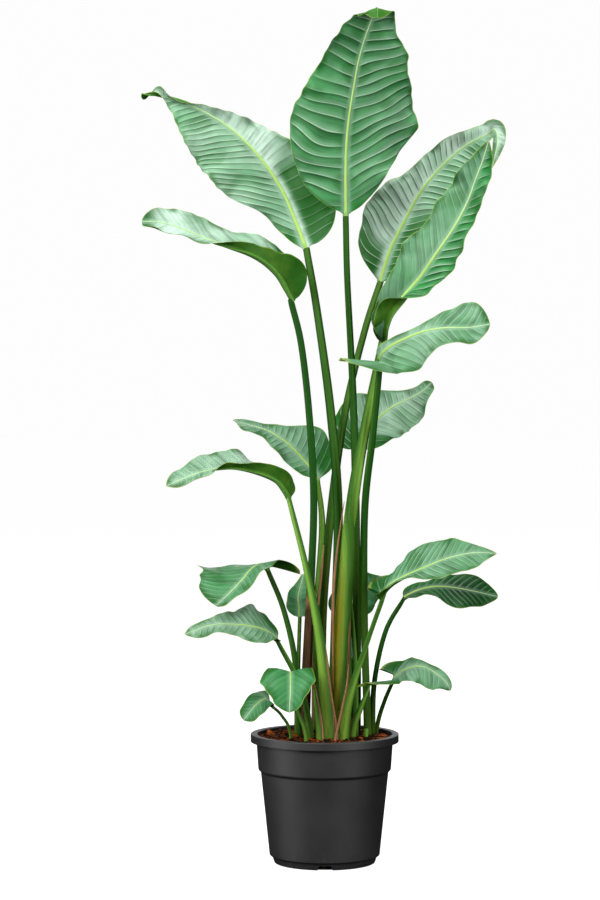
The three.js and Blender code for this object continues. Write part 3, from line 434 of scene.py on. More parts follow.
class Line:
    """A curve through points, read by its share of length, which runs on straight beyond both ends."""

    def __init__(self, points):
        self.points = np.asarray(points, float)
        self.shares = np.linspace(0, 1, 201)
        steps = np.linalg.norm(np.diff(through(self.points, self.shares), axis=0), axis=1)
        self.run = np.concatenate([[0], np.cumsum(steps)])
        self.length = self.run[-1]

    def share(self, s):
        return np.interp(np.asarray(s) * self.length, self.run, self.shares)

    def tangent(self, s):
        before, after = (np.clip(self.share(s) + step, 0, 1) for step in (-1e-3, 1e-3))
        return unit(through(self.points, after) - through(self.points, before))

    def at(self, s):
        beyond = (s - np.clip(s, 0, 1)) * self.length
        return through(self.points, self.share(s)) + beyond[..., None] * self.tangent(s)


def unit(vectors):
    """Vectors scaled to length one."""
    return vectors / np.linalg.norm(vectors, axis=-1, keepdims=True)


def square_to(vectors, axes):
    """Unit vectors with the part along each unit axis taken out."""
    return unit(vectors - (vectors * axes).sum(-1, keepdims=True) * axes)


def ramp(low, high, x):
    """0 below low, 1 above high, and a smooth step between them."""
    t = np.clip((x - low) / (high - low), 0, 1)
    return t * t * (3 - 2 * t)


def ripples(x, y, wavelength, seed, waves=7):
    """Gentle unevenness of height about 1: a sum of sine waves whose directions, phases and lengths, from
    0.7 to 1.5 of the wavelength, come from the seed."""
    random = np.random.default_rng(seed)
    turn, phase = random.uniform(0, 2 * math.pi, (2, waves))
    pitch = 2 * math.pi / (wavelength * random.uniform(0.7, 1.5, waves))
    along = x[..., None] * np.cos(turn) + y[..., None] * np.sin(turn)
    return np.sin(along * pitch + phase).sum(-1) * math.sqrt(2 / waves)


# ---- Meshes from rings ----
def ring_faces(rings, size, start=0):
    """Four-cornered faces between closed rings of the same size, numbered one ring after another."""
    i, j = np.meshgrid(np.arange(rings - 1), np.arange(size), indexing="ij")
    across = (j + 1) % size
    corners = (i * size + j, i * size + across, (i + 1) * size + across, (i + 1) * size + j)
    return start + np.stack(corners, -1).reshape(-1, 4)


def tube(rings):
    """Points and faces of closed rings joined in order, with a fan of three-cornered faces to the middle at
    each end. A fan's face repeats its last corner."""
    count, size = rings.shape[:2]
    points = np.concatenate([rings.reshape(-1, 3), rings[:1].mean(1), rings[-1:].mean(1)])
    j = np.arange(size)
    after = (j + 1) % size
    low = np.stack([after, j, np.full(size, count * size), np.full(size, count * size)], -1)
    high = np.stack([j, after, np.full(size, count * size + 1), np.full(size, count * size + 1)], -1)
    high[:, :2] += (count - 1) * size
    return points, np.concatenate([ring_faces(count, size), low, high])


def sheet(upper, lower):
    """Points and faces of a thin sheet between two grids: rings round each row, closed by a strip at both
    ends."""
    rings = np.concatenate([upper, lower[:, ::-1]], axis=1)
    count, size = rings.shape[:2]
    half = size // 2
    j = np.arange(half - 1)
    first = np.stack([size - 1 - j, size - 2 - j, j + 1, j], -1)
    last = np.stack([j, j + 1, size - 2 - j, size - 1 - j], -1) + (count - 1) * size
    return rings.reshape(-1, 3), np.concatenate([ring_faces(count, size), first, last])


def make_mesh(name, points, faces, material, values=None, smooth=True):
    """A mesh object from points in millimetres and faces of four corners, of which the last may repeat the
    third. Its faces are turned outwards by the sign of the volume that they enclose. values are one number
    for each point."""
    corners = points[faces]
    middle = points.mean(0)
    a, b, c, d = (corners[:, k] - middle for k in range(4))
    volume = (np.cross(a, b) * c).sum() + (np.cross(a, c) * d).sum()
    faces = faces if volume > 0 else faces[:, ::-1]
    keep = np.ones(faces.shape, bool)
    keep[:, 3] = faces[:, 3] != faces[:, 2]
    keep[:, 1] &= faces[:, 1] != faces[:, 0]
    mesh = bpy.data.meshes.new(name)
    mesh.vertices.add(len(points))
    mesh.vertices.foreach_set("co", (points * MM).astype(np.float32).ravel())
    mesh.loops.add(int(keep.sum()))
    mesh.loops.foreach_set("vertex_index", faces[keep].astype(np.int32))
    sizes = keep.sum(1)
    mesh.polygons.add(len(faces))
    mesh.polygons.foreach_set("loop_start", (np.cumsum(sizes) - sizes).astype(np.int32))
    mesh.polygons.foreach_set("use_smooth", np.full(len(faces), smooth))
    for key, numbers in (values or {}).items():
        layer = mesh.attributes.new(key, "FLOAT", "POINT")
        layer.data.foreach_set("value", np.asarray(numbers, np.float32).ravel())
    mesh.update(calc_edges=True)
    mesh.materials.append(material)
    piece = bpy.data.objects.new(name, mesh)
    bpy.context.scene.collection.objects.link(piece)
    return piece


def stand_for(piece, slot, *nodes):
    """The piece moves with the one body and replaces the nodes, whose solids it hides. The slot is not used.
    """
    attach(piece, "root")
    if nodes:
        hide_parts(*nodes)
    return piece


# ---- Materials ----
def linear(hex_colour):
    """An sRGB hex colour as linear red, green and blue with full alpha."""
    shares = [int(hex_colour[i:i + 2], 16) / 255 for i in (1, 3, 5)]
    return (*[c / 12.92 if c <= 0.04045 else ((c + 0.055) / 1.055) ** 2.4 for c in shares], 1.0)


def add_node(tree, kind, inputs=(), output=None, **settings):
    """Adds a shader node with its settings, and sets or links its inputs, which are named or in the node's
    own order: for a Map Range its value, the two that it comes from and the two that it goes to. Returns
    the named output, or the first live one."""
    node = tree.nodes.new(f"ShaderNode{kind}")
    for key, value in settings.items():
        setattr(node, key, value)
    for key, value in inputs.items() if isinstance(inputs, dict) else enumerate(inputs):
        if isinstance(value, bpy.types.NodeSocket):
            tree.links.new(value, node.inputs[key])
        else:
            node.inputs[key].default_value = value
    if output:
        return node.outputs[output]
    return next(socket for socket in node.outputs if socket.enabled)


def new_material(name, **sockets):
    """A material and its node tree's principled shader, whose sockets are set by name."""
    material = bpy.data.materials.new(name)
    material.use_nodes = True
    shader = material.node_tree.nodes["Principled BSDF"]
    for key, value in sockets.items():
        shader.inputs[key.replace("_", " ")].default_value = value
    return material, material.node_tree, shader


def blade_material(look):
    """Living leaf blade of a bird of paradise: leathery, blue-green above under a greyish wax whose pale
    colour is also painted sheen where the upper side faces the softboxes, and matte olive-green below. Each
    side vein is a pale ridge, partly a painted highlight, with painted shade in the crease on its base side
    and a painted highlight on the swell beyond. Bands of painted pleat shade run along the veins, and the
    basal lobes and the tip are darkened with painted shade. Fine parallel veinlets run beside the veins, the
    midrib is pale, and the thin margin browns at the tip."""
    material, tree, shader = new_material(
        "Living blade, waxed", IOR=1.45, Specular_IOR_Level=0.18, Coat_Weight=look.wax, Coat_Roughness=0.4)
    keys = ("run", "gap", "out", "station", "rib", "off_rib", "off_edge", "under", "pale", "fresh_and_shade", "dry",
            "bold")
    read = {key: add_node(tree, "Attribute", output="Fac", attribute_name=key) for key in keys}
    place = add_node(tree, "TexCoord", output="Object")
    # Blotches 25 mm across: where the blade is thicker it is darker.
    blotch = add_node(tree, "TexNoise", {"Vector": place, "Scale": 40.0, "Detail": 3.0})
    mottle = add_node(tree, "MapRange", [blotch, 0.35, 0.65])
    # Veinlets stand 0.9 mm apart on the real leaf, which would not show: streaks of two to four are drawn.
    slow = add_node(tree, "Math", [read["out"], 0.04], operation="MULTIPLY")
    strand = add_node(tree, "CombineXYZ", [read["run"], slow, read["under"]])
    streak = add_node(tree, "TexNoise", {"Vector": strand, "Scale": 0.42, "Detail": 2.0})
    veinlet = add_node(tree, "MapRange", [streak, 0.32, 0.68])
    # Painted shade of the pleats: darker bands about 15 mm wide run along the side veins.
    long = add_node(tree, "Math", [read["out"], 0.15], operation="MULTIPLY")
    across = add_node(tree, "CombineXYZ", [read["run"], long])
    band = add_node(tree, "TexNoise", {"Vector": across, "Scale": 0.06, "Detail": 3.0})
    band = add_node(tree, "MapRange", [band, 0.46, 0.68, 0.0, 0.5])

    # Millimetres from the nearest side vein, below nought on its base side. Painted shade in the crease is
    # darkest 1 mm from the vein and fades over a third of the gap; a painted highlight lies on the swell
    # beyond the vein over half the gap. The pale line on the vein is partly the vein's own colour and partly
    # a painted highlight.
    half, back, far = (
        add_node(tree, "Math", [read["gap"], share], operation="MULTIPLY") for share in (0.5, -0.5, -0.36))
    off_vein = add_node(tree, "Math", [read["run"], half, back], operation="WRAP")
    distance = add_node(tree, "Math", [off_vein], operation="ABSOLUTE")
    line = add_node(tree, "MapRange", [distance, 0.3, 1.3, 1.0, 0.0], interpolation_type="SMOOTHSTEP")
    crease = add_node(tree, "MapRange", [off_vein, far, -1.0])
    ahead = add_node(tree, "MapRange", [off_vein, -0.9, -0.1, 1.0, 0.0])
    swell = add_node(tree, "MapRange", [off_vein, 0.4, half, 1.0, 0.0])
    beyond = add_node(tree, "Math", [off_vein, 0.4], operation="GREATER_THAN")
    # Side veins die out at the rib and the margin, and stand out more in some places, about 80 mm across,
    # than in others.
    off_margin = add_node(tree, "MapRange", [read["off_edge"], 0.0, 9.0])
    off_middle = add_node(tree, "MapRange", [read["off_rib"], 0.0, 5.0])
    strength = add_node(tree, "TexNoise", {"Vector": place, "Scale": 12.0, "Detail": 1.0})
    strength = add_node(tree, "MapRange", [strength, 0.35, 0.6, 0.35, 1.0])
    show = read["bold"]
    for share in (off_margin, off_middle, strength):
        show = add_node(tree, "Math", [show, share], operation="MULTIPLY")
    crease = add_node(tree, "Math", [crease, ahead], operation="MULTIPLY")
    swell = add_node(tree, "Math", [swell, beyond], operation="MULTIPLY")
    line, crease, swell = (
        add_node(tree, "Math", [mark, show], operation="MULTIPLY") for mark in (line, crease, swell))

    # Each coat lies over the ones before it, by its share.
    # Painted light: the swell's pale coat is a painted highlight, the dark coat is painted shade in the
    # crease, and the vein line's coat is partly a painted highlight.
    painted_swell_highlight, dark, light, underside_green_and_shade = (
        add_node(tree, "Math", [mark, share], operation="MULTIPLY")
        for mark, share in ((swell, 0.22), (crease, look.crease), (line, 0.5), (read["fresh_and_shade"], 0.75)))
    # Below nought, pale is painted shade: the upper side is darkened towards the deep colour where it lies in
    # shade.
    shaded = add_node(tree, "MapRange", [read["pale"], -1.0, 0.0, 1.0, 0.0])
    fine, patch = (add_node(tree, "MapRange", [share, 0.0, 1.0, 0.0, 0.16]) for share in (veinlet, mottle))
    upper = look.upper
    # The pale coat is the leaf's wax colour and also painted sheen.
    for share, coat in (
            (read["pale"], look.wax_and_sheen), (shaded, look.deep), (fine, look.deep), (patch, look.deep),
            (band, look.deep), (painted_swell_highlight, look.wax_and_sheen), (read["fresh_and_shade"], look.fresh_and_shade), (dark, look.deep),
            (light, look.vein)):
        upper = add_node(tree, "Mix", {"Factor": share, "A": upper, "B": coat}, data_type="RGBA")
    lower = look.under
    # On the underside the saturated green coat is painted shade at the tip and on the lobes, and the leaf's
    # own green elsewhere.
    for share, coat in ((mottle, look.under_pale), (fine, look.under_vein), (light, look.under_vein),
                        (underside_green_and_shade, look.fresh_and_shade)):
        lower = add_node(tree, "Mix", {"Factor": share, "A": lower, "B": coat}, data_type="RGBA")

    # The midrib is yellow-green at the base and greyer towards the tip. On the upper side a faint pale halo
    # runs along it.
    green = add_node(tree, "MapRange", [read["station"], 0.45, 1.0, 0.0, 0.5])
    rib = look.rib
    for share, coat in ((green, look.vein), (read["under"], look.rib_under)):
        rib = add_node(tree, "Mix", {"Factor": share, "A": rib, "B": coat}, data_type="RGBA")
    halo = add_node(tree, "MapRange", [read["off_rib"], 0.0, 6.0, 0.2, 0.0])
    halo = add_node(tree, "Math", [halo, read["under"]], operation="SUBTRACT", use_clamp=True)
    # The margin is a pale line about 1 mm wide that is brown in places 20 mm long.
    scorch = add_node(tree, "TexNoise", {"Vector": place, "Scale": 50.0, "Detail": 2.0})
    scorch = add_node(tree, "MapRange", [scorch, 0.55, 0.68])
    margin = add_node(tree, "Mix", {"Factor": scorch, "A": look.margin, "B": look.brown}, data_type="RGBA")
    edge = add_node(tree, "MapRange", [read["off_edge"], 0.4, 1.5, 0.55, 0.0])
    # Dry tips and margins are brown with a ragged edge, whose teeth are about 6 mm.
    grain = add_node(tree, "TexNoise", {"Vector": place, "Scale": 160.0, "Detail": 3.0})
    spread = add_node(tree, "Math", [read["dry"], grain], operation="ADD")
    browned = add_node(tree, "MapRange", [spread, 0.95, 1.1])
    colour = upper
    for share, coat in ((read["under"], lower), (halo, look.wax_and_sheen), (read["rib"], rib), (edge, margin),
                        (browned, look.brown)):
        colour = add_node(tree, "Mix", {"Factor": share, "A": colour, "B": coat}, data_type="RGBA")
    tree.links.new(colour, shader.inputs["Base Color"])

    gloss = add_node(tree, "MapRange", [mottle, 0.0, 1.0, look.gloss, look.gloss + 0.1])
    dull = add_node(tree, "Mix", {"Factor": read["under"], "A": gloss, "B": 0.6}, data_type="FLOAT")
    tree.links.new(dull, shader.inputs["Roughness"])
    # The side veins stand 0.4 mm proud.
    relief = add_node(tree, "Bump", {"Height": line, "Strength": 1.0, "Distance": 0.4 * MM})
    tree.links.new(relief, shader.inputs["Normal"])
    return material


def stalk_material(look):
    """Living leaf stalk: smooth firm green skin over long fibres, which gives soft lengthwise streaks and a
    satin gloss. Its tone darkens at both sides as painted shade. The edges of its sheath are dead and papery,
    and where a sheath is wet and old it is nearly black."""
    material, tree, shader = new_material("Living stalk", IOR=1.45, Specular_IOR_Level=0.12)
    keys = ("girth", "reach", "tone", "olive", "dry")
    read = {key: add_node(tree, "Attribute", output="Fac", attribute_name=key) for key in keys}
    # Fibres about 1.2 mm apart round the stalk and tens of millimetres long.
    slow = add_node(tree, "Math", [read["reach"], 0.03], operation="MULTIPLY")
    strand = add_node(tree, "CombineXYZ", [read["girth"], slow])
    fibre = add_node(tree, "TexNoise", {"Vector": strand, "Scale": 0.8, "Detail": 3.0})
    streak = add_node(tree, "MapRange", [fibre, 0.3, 0.7])
    shade = add_node(tree, "MapRange", [streak, 0.0, 1.0, 0.0, 0.4])
    aged = add_node(tree, "MapRange", [read["olive"], 0.0, 1.0, 0.0, 0.85])
    # Papery edges start where the dryness, made ragged by the fibres, passes a half.
    rough = add_node(tree, "Math", [fibre, 0.5], operation="SUBTRACT")
    torn = add_node(tree, "Math", [rough, 0.9, read["dry"]], operation="MULTIPLY_ADD")
    papery = add_node(tree, "MapRange", [torn, 0.42, 0.58])
    rotten = add_node(tree, "MapRange", [read["dry"], 1.0, 1.4, 0.0, 0.85])
    brown = look.brown
    for share, coat in ((streak, look.straw), (rotten, look.rotten)):
        brown = add_node(tree, "Mix", {"Factor": share, "A": brown, "B": coat}, data_type="RGBA")
    # A low tone at the stalk's sides mixes towards the dark colour as painted shade.
    colour = look.dark
    for share, coat in ((read["tone"], look.light), (shade, look.dark), (aged, look.olive), (papery, brown)):
        colour = add_node(tree, "Mix", {"Factor": share, "A": colour, "B": coat}, data_type="RGBA")
    tree.links.new(colour, shader.inputs["Base Color"])
    dull = add_node(tree, "MapRange", [papery, 0.0, 1.0, 0.5, 0.75])
    tree.links.new(dull, shader.inputs["Roughness"])
    relief = add_node(tree, "Bump", {"Height": fibre, "Strength": 0.4, "Distance": 0.4 * MM})
    tree.links.new(relief, shader.inputs["Normal"])
    return material


def pot_material(look):
    """Polypropylene nursery pot, injection moulded with recycled carbon black: even charcoal with a satin
    skin, very fine moulding grain and a little dried splash round the foot."""
    material, tree, shader = new_material("Moulded polypropylene", IOR=1.49)
    place = add_node(tree, "TexCoord", output="Object")
    # Clouding of the recycled plastic, about 60 mm across.
    cloud = add_node(tree, "TexNoise", {"Vector": place, "Scale": 16.0, "Detail": 4.0})
    tint = add_node(tree, "MapRange", [cloud, 0.35, 0.65])
    # Splash: specks about 5 mm across on the lowest 60 mm.
    height = add_node(tree, "SeparateXYZ", [place], output="Z")
    low = add_node(tree, "MapRange", [height, 0.0, 60 * MM, 1.0, 0.0])
    speck = add_node(tree, "TexNoise", {"Vector": place, "Scale": 220.0, "Detail": 4.0})
    splash = add_node(tree, "MapRange", [speck, 0.55, 0.75])
    for share in (low, 0.25):
        splash = add_node(tree, "Math", [splash, share], operation="MULTIPLY")
    colour = look.plastic
    for share, coat in ((tint, look.plastic_light), (splash, look.dust)):
        colour = add_node(tree, "Mix", {"Factor": share, "A": colour, "B": coat}, data_type="RGBA")
    tree.links.new(colour, shader.inputs["Base Color"])
    worn = add_node(tree, "MapRange", [cloud, 0.0, 1.0, 0.42, 0.58])
    tree.links.new(worn, shader.inputs["Roughness"])
    # Spark-eroded mould grain, 1 mm where the real one is about 0.3 mm.
    grain = add_node(tree, "TexNoise", {"Vector": place, "Scale": 1000.0, "Detail": 2.0})
    relief = add_node(tree, "Bump", {"Height": grain, "Strength": 0.15, "Distance": 0.1 * MM})
    tree.links.new(relief, shader.inputs["Normal"])
    return material


def bark_material(look):
    """Composted pine bark: chopped and dried, so it breaks in plates that are orange-brown inside, dark
    outside, and quite matte."""
    material, tree, shader = new_material(
        "Composted pine bark", Roughness=0.9, IOR=1.4, Specular_IOR_Level=0.1)
    tone = add_node(tree, "Attribute", output="Fac", attribute_name="tone")
    place = add_node(tree, "TexCoord", output="Object")
    # Flakes 4 mm long in each chip.
    flake = add_node(tree, "TexNoise", {"Vector": place, "Scale": 250.0, "Detail": 4.0})
    shift = add_node(tree, "Math", [flake, 0.9, tone], operation="MULTIPLY_ADD")
    warm = add_node(tree, "MapRange", [shift, 0.55, 1.35])
    colour = add_node(tree, "Mix", {"Factor": warm, "A": look.soil, "B": look.bark}, data_type="RGBA")
    tree.links.new(colour, shader.inputs["Base Color"])
    relief = add_node(tree, "Bump", {"Height": flake, "Strength": 0.6, "Distance": 1 * MM})
    tree.links.new(relief, shader.inputs["Normal"])
    return material


def colour_setting(name, description, hex_colour):
    """A colour that can be changed in the panel's settings."""
    return FloatVectorProperty(name=name, description=description, size=4, subtype="COLOR",
                               default=linear(hex_colour))


# ---- Pot ----
def inner_radius(z):
    """Inside radius of the pot's wall at height z: three straight tapers, of the foot, the body and the
    collar."""
    ledge = POT["foot_height"] + POT["step"]
    foot = np.interp(z, [0, POT["foot_height"]], [POT["foot_radius"], POT["foot_radius"] + POT["flare"]])
    body = np.interp(z, [ledge, POT["shoulder"] - POT["undercut"]], [POT["body_foot"], POT["body_radius"]])
    collar = np.interp(z, [POT["shoulder"], POT["height"]], [POT["collar_foot"], POT["collar_radius"]])
    return np.where(z > POT["shoulder"], collar, np.where(z > ledge, body, foot)) - POT["wall"]


def rounded(profile, reach, steps=4):
    """The profile with every inner corner replaced by a quadratic curve from reach before it to reach after
    it, less where a side is short, with one more point half that far beyond each end to hold the flat."""
    before, corner, after = profile[:-2], profile[1:-1], profile[2:]
    back, ahead = before - corner, after - corner
    long_back = np.linalg.norm(back, axis=1)
    long_ahead = np.linalg.norm(ahead, axis=1)
    cut = np.minimum(reach, 0.3 * np.minimum(long_back, long_ahead))
    start = corner + back * (cut / long_back)[:, None]
    end = corner + ahead * (cut / long_ahead)[:, None]
    t = np.linspace(0, 1, steps + 1)[None, :, None]
    arc = (1 - t) ** 2 * start[:, None] + 2 * t * (1 - t) * corner[:, None] + t ** 2 * end[:, None]
    held_start = start + 0.5 * (start - corner)
    held_end = end + 0.5 * (end - corner)
    stretches = np.concatenate([held_start[:, None], arc, held_end[:, None]], axis=1).reshape(-1, 2)
    return np.concatenate([profile[:1], stretches, profile[-1:]])


def notched(rings, turn):
    """Rings with the drainage notches pressed into the foot. Within a notch the outer edge of the underside
    turns up into its back wall, and the foot's side turns in to become its roof."""
    radius = np.hypot(rings[..., 0], rings[..., 1])
    height = rings[..., 2]
    sector = 2 * math.pi / NOTCH["count"]
    off = (turn + math.pi / 2 + sector / 2) % sector - sector / 2
    tall, back = NOTCH["height"], NOTCH["back"]
    half = NOTCH["width"] / 2 - NOTCH["taper"] * np.clip(height, 0, tall) / tall
    edge = 0.4
    flat = 0.05
    inside = ramp(edge, -edge, np.abs(off) * POT["foot_radius"] - half)
    outer = radius > back
    under = outer & (height < flat)
    side = outer & (height >= flat) & (height < tall) & (radius < POT["body_foot"])
    rise = (radius - back) / (POT["foot_radius"] - back)
    roof = back + (radius - back) * np.clip(height / tall, 0, 1)
    new_radius = np.where(under, back, np.where(side, roof, radius))
    new_height = np.where(under, tall * np.clip(rise, 0, 1), np.where(side, tall, height))
    new_radius = radius + (new_radius - radius) * inside
    new_height = height + (new_height - height) * inside
    ratio = new_radius / np.maximum(radius, 1e-6)
    return np.stack([rings[..., 0] * ratio, rings[..., 1] * ratio, new_height], -1)


def pot_rings(segments):
    """The pot's closed profile, from under its floor round the rim to the floor's upper side, turned round
    +Z. The notches' height has more rings, and their ends more segments, than the rest."""
    height, wall, rim, band = POT["height"], POT["wall"], POT["rim_radius"], POT["height"] - POT["rim_band"]
    foot, shoulder, collar, base = POT["foot_height"], POT["shoulder"], POT["collar_radius"], POT["floor"]
    flared = POT["foot_radius"] + POT["flare"]
    low_body = shoulder - POT["undercut"]
    middle = 0.5
    levels = (height - 3, shoulder + 1, low_body, foot + 3, foot, base)
    profile = rounded(np.array([
        [middle, 0], [NOTCH["back"] + 0.2, 0], [POT["foot_radius"], 0], [flared, foot],
        [POT["body_foot"], foot + POT["step"]], [POT["body_radius"], low_body],
        [POT["collar_foot"], shoulder], [collar, band], [collar, height - wall],
        [rim - wall, height - wall], [rim - wall, band], [rim, band],
        [rim, height], [float(inner_radius(height)) + 1, height],
        *([float(inner_radius(level)), level] for level in levels), [middle, base],
    ]), POT["rounding"])

    # The foot's outer side is among the first twenty points. Even ones up past the notches replace it there.
    low, high = 0.8, foot - 0.9
    side = (np.arange(len(profile)) < 20) & (profile[:, 1] > low) & (profile[:, 1] < high)
    first = int(np.argmax(profile[:, 1] > low))
    up = np.linspace(0.6, NOTCH["height"] + 1.5, 8)[1:]
    even = np.stack([np.interp(up, [0, foot], [POT["foot_radius"], flared]), up], -1)
    kept = profile[~side]
    profile = np.concatenate([kept[:first], even, kept[first:]])

    sector = 2 * math.pi / NOTCH["count"]
    spaced = np.linspace(0, sector, segments // NOTCH["count"], endpoint=False)
    edge = (NOTCH["width"] / 2 + np.linspace(-NOTCH["taper"] - 0.4, 0.6, 16)) / POT["foot_radius"]
    turns = np.unique(np.concatenate([spaced, edge, sector - edge]).round(6))
    turn = (turns[None] + sector * np.arange(NOTCH["count"])[:, None]).ravel() - math.pi / 2
    out = profile[:, :1]
    return notched(np.stack([out * np.cos(turn), out * np.sin(turn), profile[:, 1:] + 0 * turn], -1), turn)


class PotSettings(bpy.types.PropertyGroup):
    segments: IntProperty(name="Segments", description="Faces round the pot", default=192, min=48)
    plastic: colour_setting("Plastic", "Colour of the moulded plastic", "#212122")
    plastic_light: colour_setting("Clouding", "Lighter cloud in the plastic", "#262627")
    dust: colour_setting("Splash", "Dried splash round the foot", "#6a6258")


class PLANT_OT_pot(bpy.types.Operator):
    """Build the nursery pot"""

    bl_idname = "plant.pot"
    bl_label = "Pot"

    def execute(self, context):
        look = context.scene.plant_pot
        points, faces = tube(pot_rings(look.segments))
        piece = make_mesh("pot_shell", points, faces, pot_material(look))
        stand_for(piece, "pot", "pot")
        return {"FINISHED"}


# ---- Soil ----
def soil_top(x, y):
    """Height of the soil: a low mound with slow lumps that die out at the wall."""
    r = np.hypot(x, y) / float(inner_radius(SOIL["top"]))
    lumps = np.sin(x * 0.11 + 1.3) * np.cos(y * 0.13 - 0.4) + 0.6 * np.sin(x * 0.23 - y * 0.19)
    return SOIL["top"] + SOIL["mound"] * (1 - r * r) + SOIL["lumps"] * lumps * (1 - r ** 6)


def soil_rings(rings=70, segments=180):
    """The soil as one turned body: its bumpy top from the middle out, then down inside the wall to the
    floor."""
    wall = float(inner_radius(SOIL["top"])) - GAP
    middle = 0.01
    turn = np.linspace(0, 2 * math.pi, segments, endpoint=False)
    out = np.linspace(middle, 1, rings)[:, None] * wall
    x, y = out * np.cos(turn), out * np.sin(turn)
    crumbs = 0.8 * ripples(x, y, 9, seed=3) + 0.5 * ripples(x, y, 4, seed=5)
    top = np.stack([x, y, soil_top(x, y) + crumbs * (1 - (out / wall) ** 8)], -1)
    levels = np.array([SOIL["top"] - 6, POT["shoulder"] + 1, POT["shoulder"] - POT["undercut"],
                       POT["foot_height"] + 3, POT["foot_height"], POT["floor"] + GAP])
    around = (inner_radius(levels) - GAP)[:, None]
    side = np.stack([around * np.cos(turn), around * np.sin(turn), levels[:, None] + 0 * turn], -1)
    return np.concatenate([top, side, side[-1:] * [middle, middle, 1]])


def clear_places(random, count, reach, keep_off):
    """Random places for chips of this reach on the soil, inside the wall and off the stalks' feet, which are
    given as x, y and radius."""
    wall = float(inner_radius(SOIL["top"])) - GAP
    x = y = np.zeros(0)
    while len(x) < count:
        turn, out = random.uniform(0, 2 * math.pi, 4 * count), wall * np.sqrt(random.uniform(0, 1, 4 * count))
        tried = np.stack([out * np.cos(turn), out * np.sin(turn)], -1)
        clear = (np.linalg.norm(tried[:, None] - keep_off[None, :, :2], axis=-1) > keep_off[:, 2] + 3).all(1)
        tried = tried[clear & (out < wall - reach)]
        x, y = np.append(x, tried[:, 0])[:count], np.append(y, tried[:, 1])[:count]
    return x, y


def chips(random, count, length, keep_off):
    """Bark chips: bent slabs of four rings of eight points whose corners are shaken, laid on the soil with
    a small tilt. Returns the points of all chips in one array, their faces, and a tone for each point."""
    x, y = clear_places(random, count, length[1] * 0.55, keep_off)
    size = random.uniform(*length, count)[:, None, None]
    u = np.linspace(-1, 1, 4)[None, :, None]
    turn = np.linspace(0, 2 * math.pi, 8, endpoint=False)
    taper = 1 - 0.55 * np.abs(u) ** 3
    across = random.uniform(0.22, 0.4, count)[:, None, None] * size * taper * np.cos(turn)
    thick = random.uniform(0.07, 0.13, count)[:, None, None] * size * taper
    square = np.sign(np.sin(turn)) * np.abs(np.sin(turn)) ** 0.5
    local = np.stack([u * size / 2 + 0 * across, across, thick * square + 0.1 * across ** 2 / size], -1)
    local += random.uniform(-0.06, 0.06, local.shape) * size[..., None]
    tilt, spin = random.normal(0, 0.22, count), random.uniform(0, 2 * math.pi, count)
    c, s = np.cos(tilt)[:, None, None], np.sin(tilt)[:, None, None]
    level, up = local[..., 0] * c - local[..., 2] * s, local[..., 0] * s + local[..., 2] * c
    c, s = np.cos(spin)[:, None, None], np.sin(spin)[:, None, None]
    lift = random.uniform(0, 0.12, count)[:, None, None] * size
    rings = np.stack([
        level * c - local[..., 1] * s + x[:, None, None],
        level * s + local[..., 1] * c + y[:, None, None],
        up + soil_top(x, y)[:, None, None] + lift,
    ], -1)
    one_points, one_faces = tube(rings[0])
    points = np.concatenate([rings.reshape(count, -1, 3), rings[:, [0, -1]].mean(2)], axis=1)
    faces = one_faces[None] + (np.arange(count) * len(one_points))[:, None, None]
    tone = np.repeat(random.uniform(0, 1, count) ** 1.5, len(one_points))
    return points.reshape(-1, 3), faces.reshape(-1, 4), tone


class SoilSettings(bpy.types.PropertyGroup):
    slabs: IntProperty(name="Slabs", description="Large bark pieces", default=60, min=0)
    chips: IntProperty(name="Chips", description="Bark chips", default=320, min=0)
    crumbs: IntProperty(name="Crumbs", description="Small broken bits", default=700, min=0)
    soil: colour_setting("Soil", "Dark potting mix", "#0d0602")
    bark: colour_setting("Bark", "Inside of a bark chip", "#8a4415")


class PLANT_OT_soil(bpy.types.Operator):
    """Build the soil and the bark chips that lie on it"""

    bl_idname = "plant.soil"
    bl_label = "Soil"

    def execute(self, context):
        look = context.scene.plant_soil
        material = bark_material(look)
        points, faces = tube(soil_rings())
        tone = 0.15 + 0.25 * ripples(points[:, 0], points[:, 1], 14, seed=11)
        stand_for(make_mesh("soil_body", points, faces, material, {"tone": tone}), "soil", "soil")
        feet = np.array([[*leaf["foot"][1][:2], leaf["stalk"][0]] for leaf in LEAVES.values()]
                        + [[*shoot["path"][1][:2], shoot["wide"][0]] for shoot in SHOOTS.values()])
        random = np.random.default_rng(21)
        # Names, numbers and lengths in millimetres.
        kinds = (("bark_slabs", look.slabs, (16, 26)), ("bark_chips", look.chips, (7, 15)),
                 ("bark_crumbs", look.crumbs, (2.5, 6)))
        for name, count, length in kinds:
            points, faces, tone = chips(random, count, length, feet)
            stand_for(make_mesh(name, points, faces, material, {"tone": tone}, smooth=False), "soil")
        return {"FINISHED"}


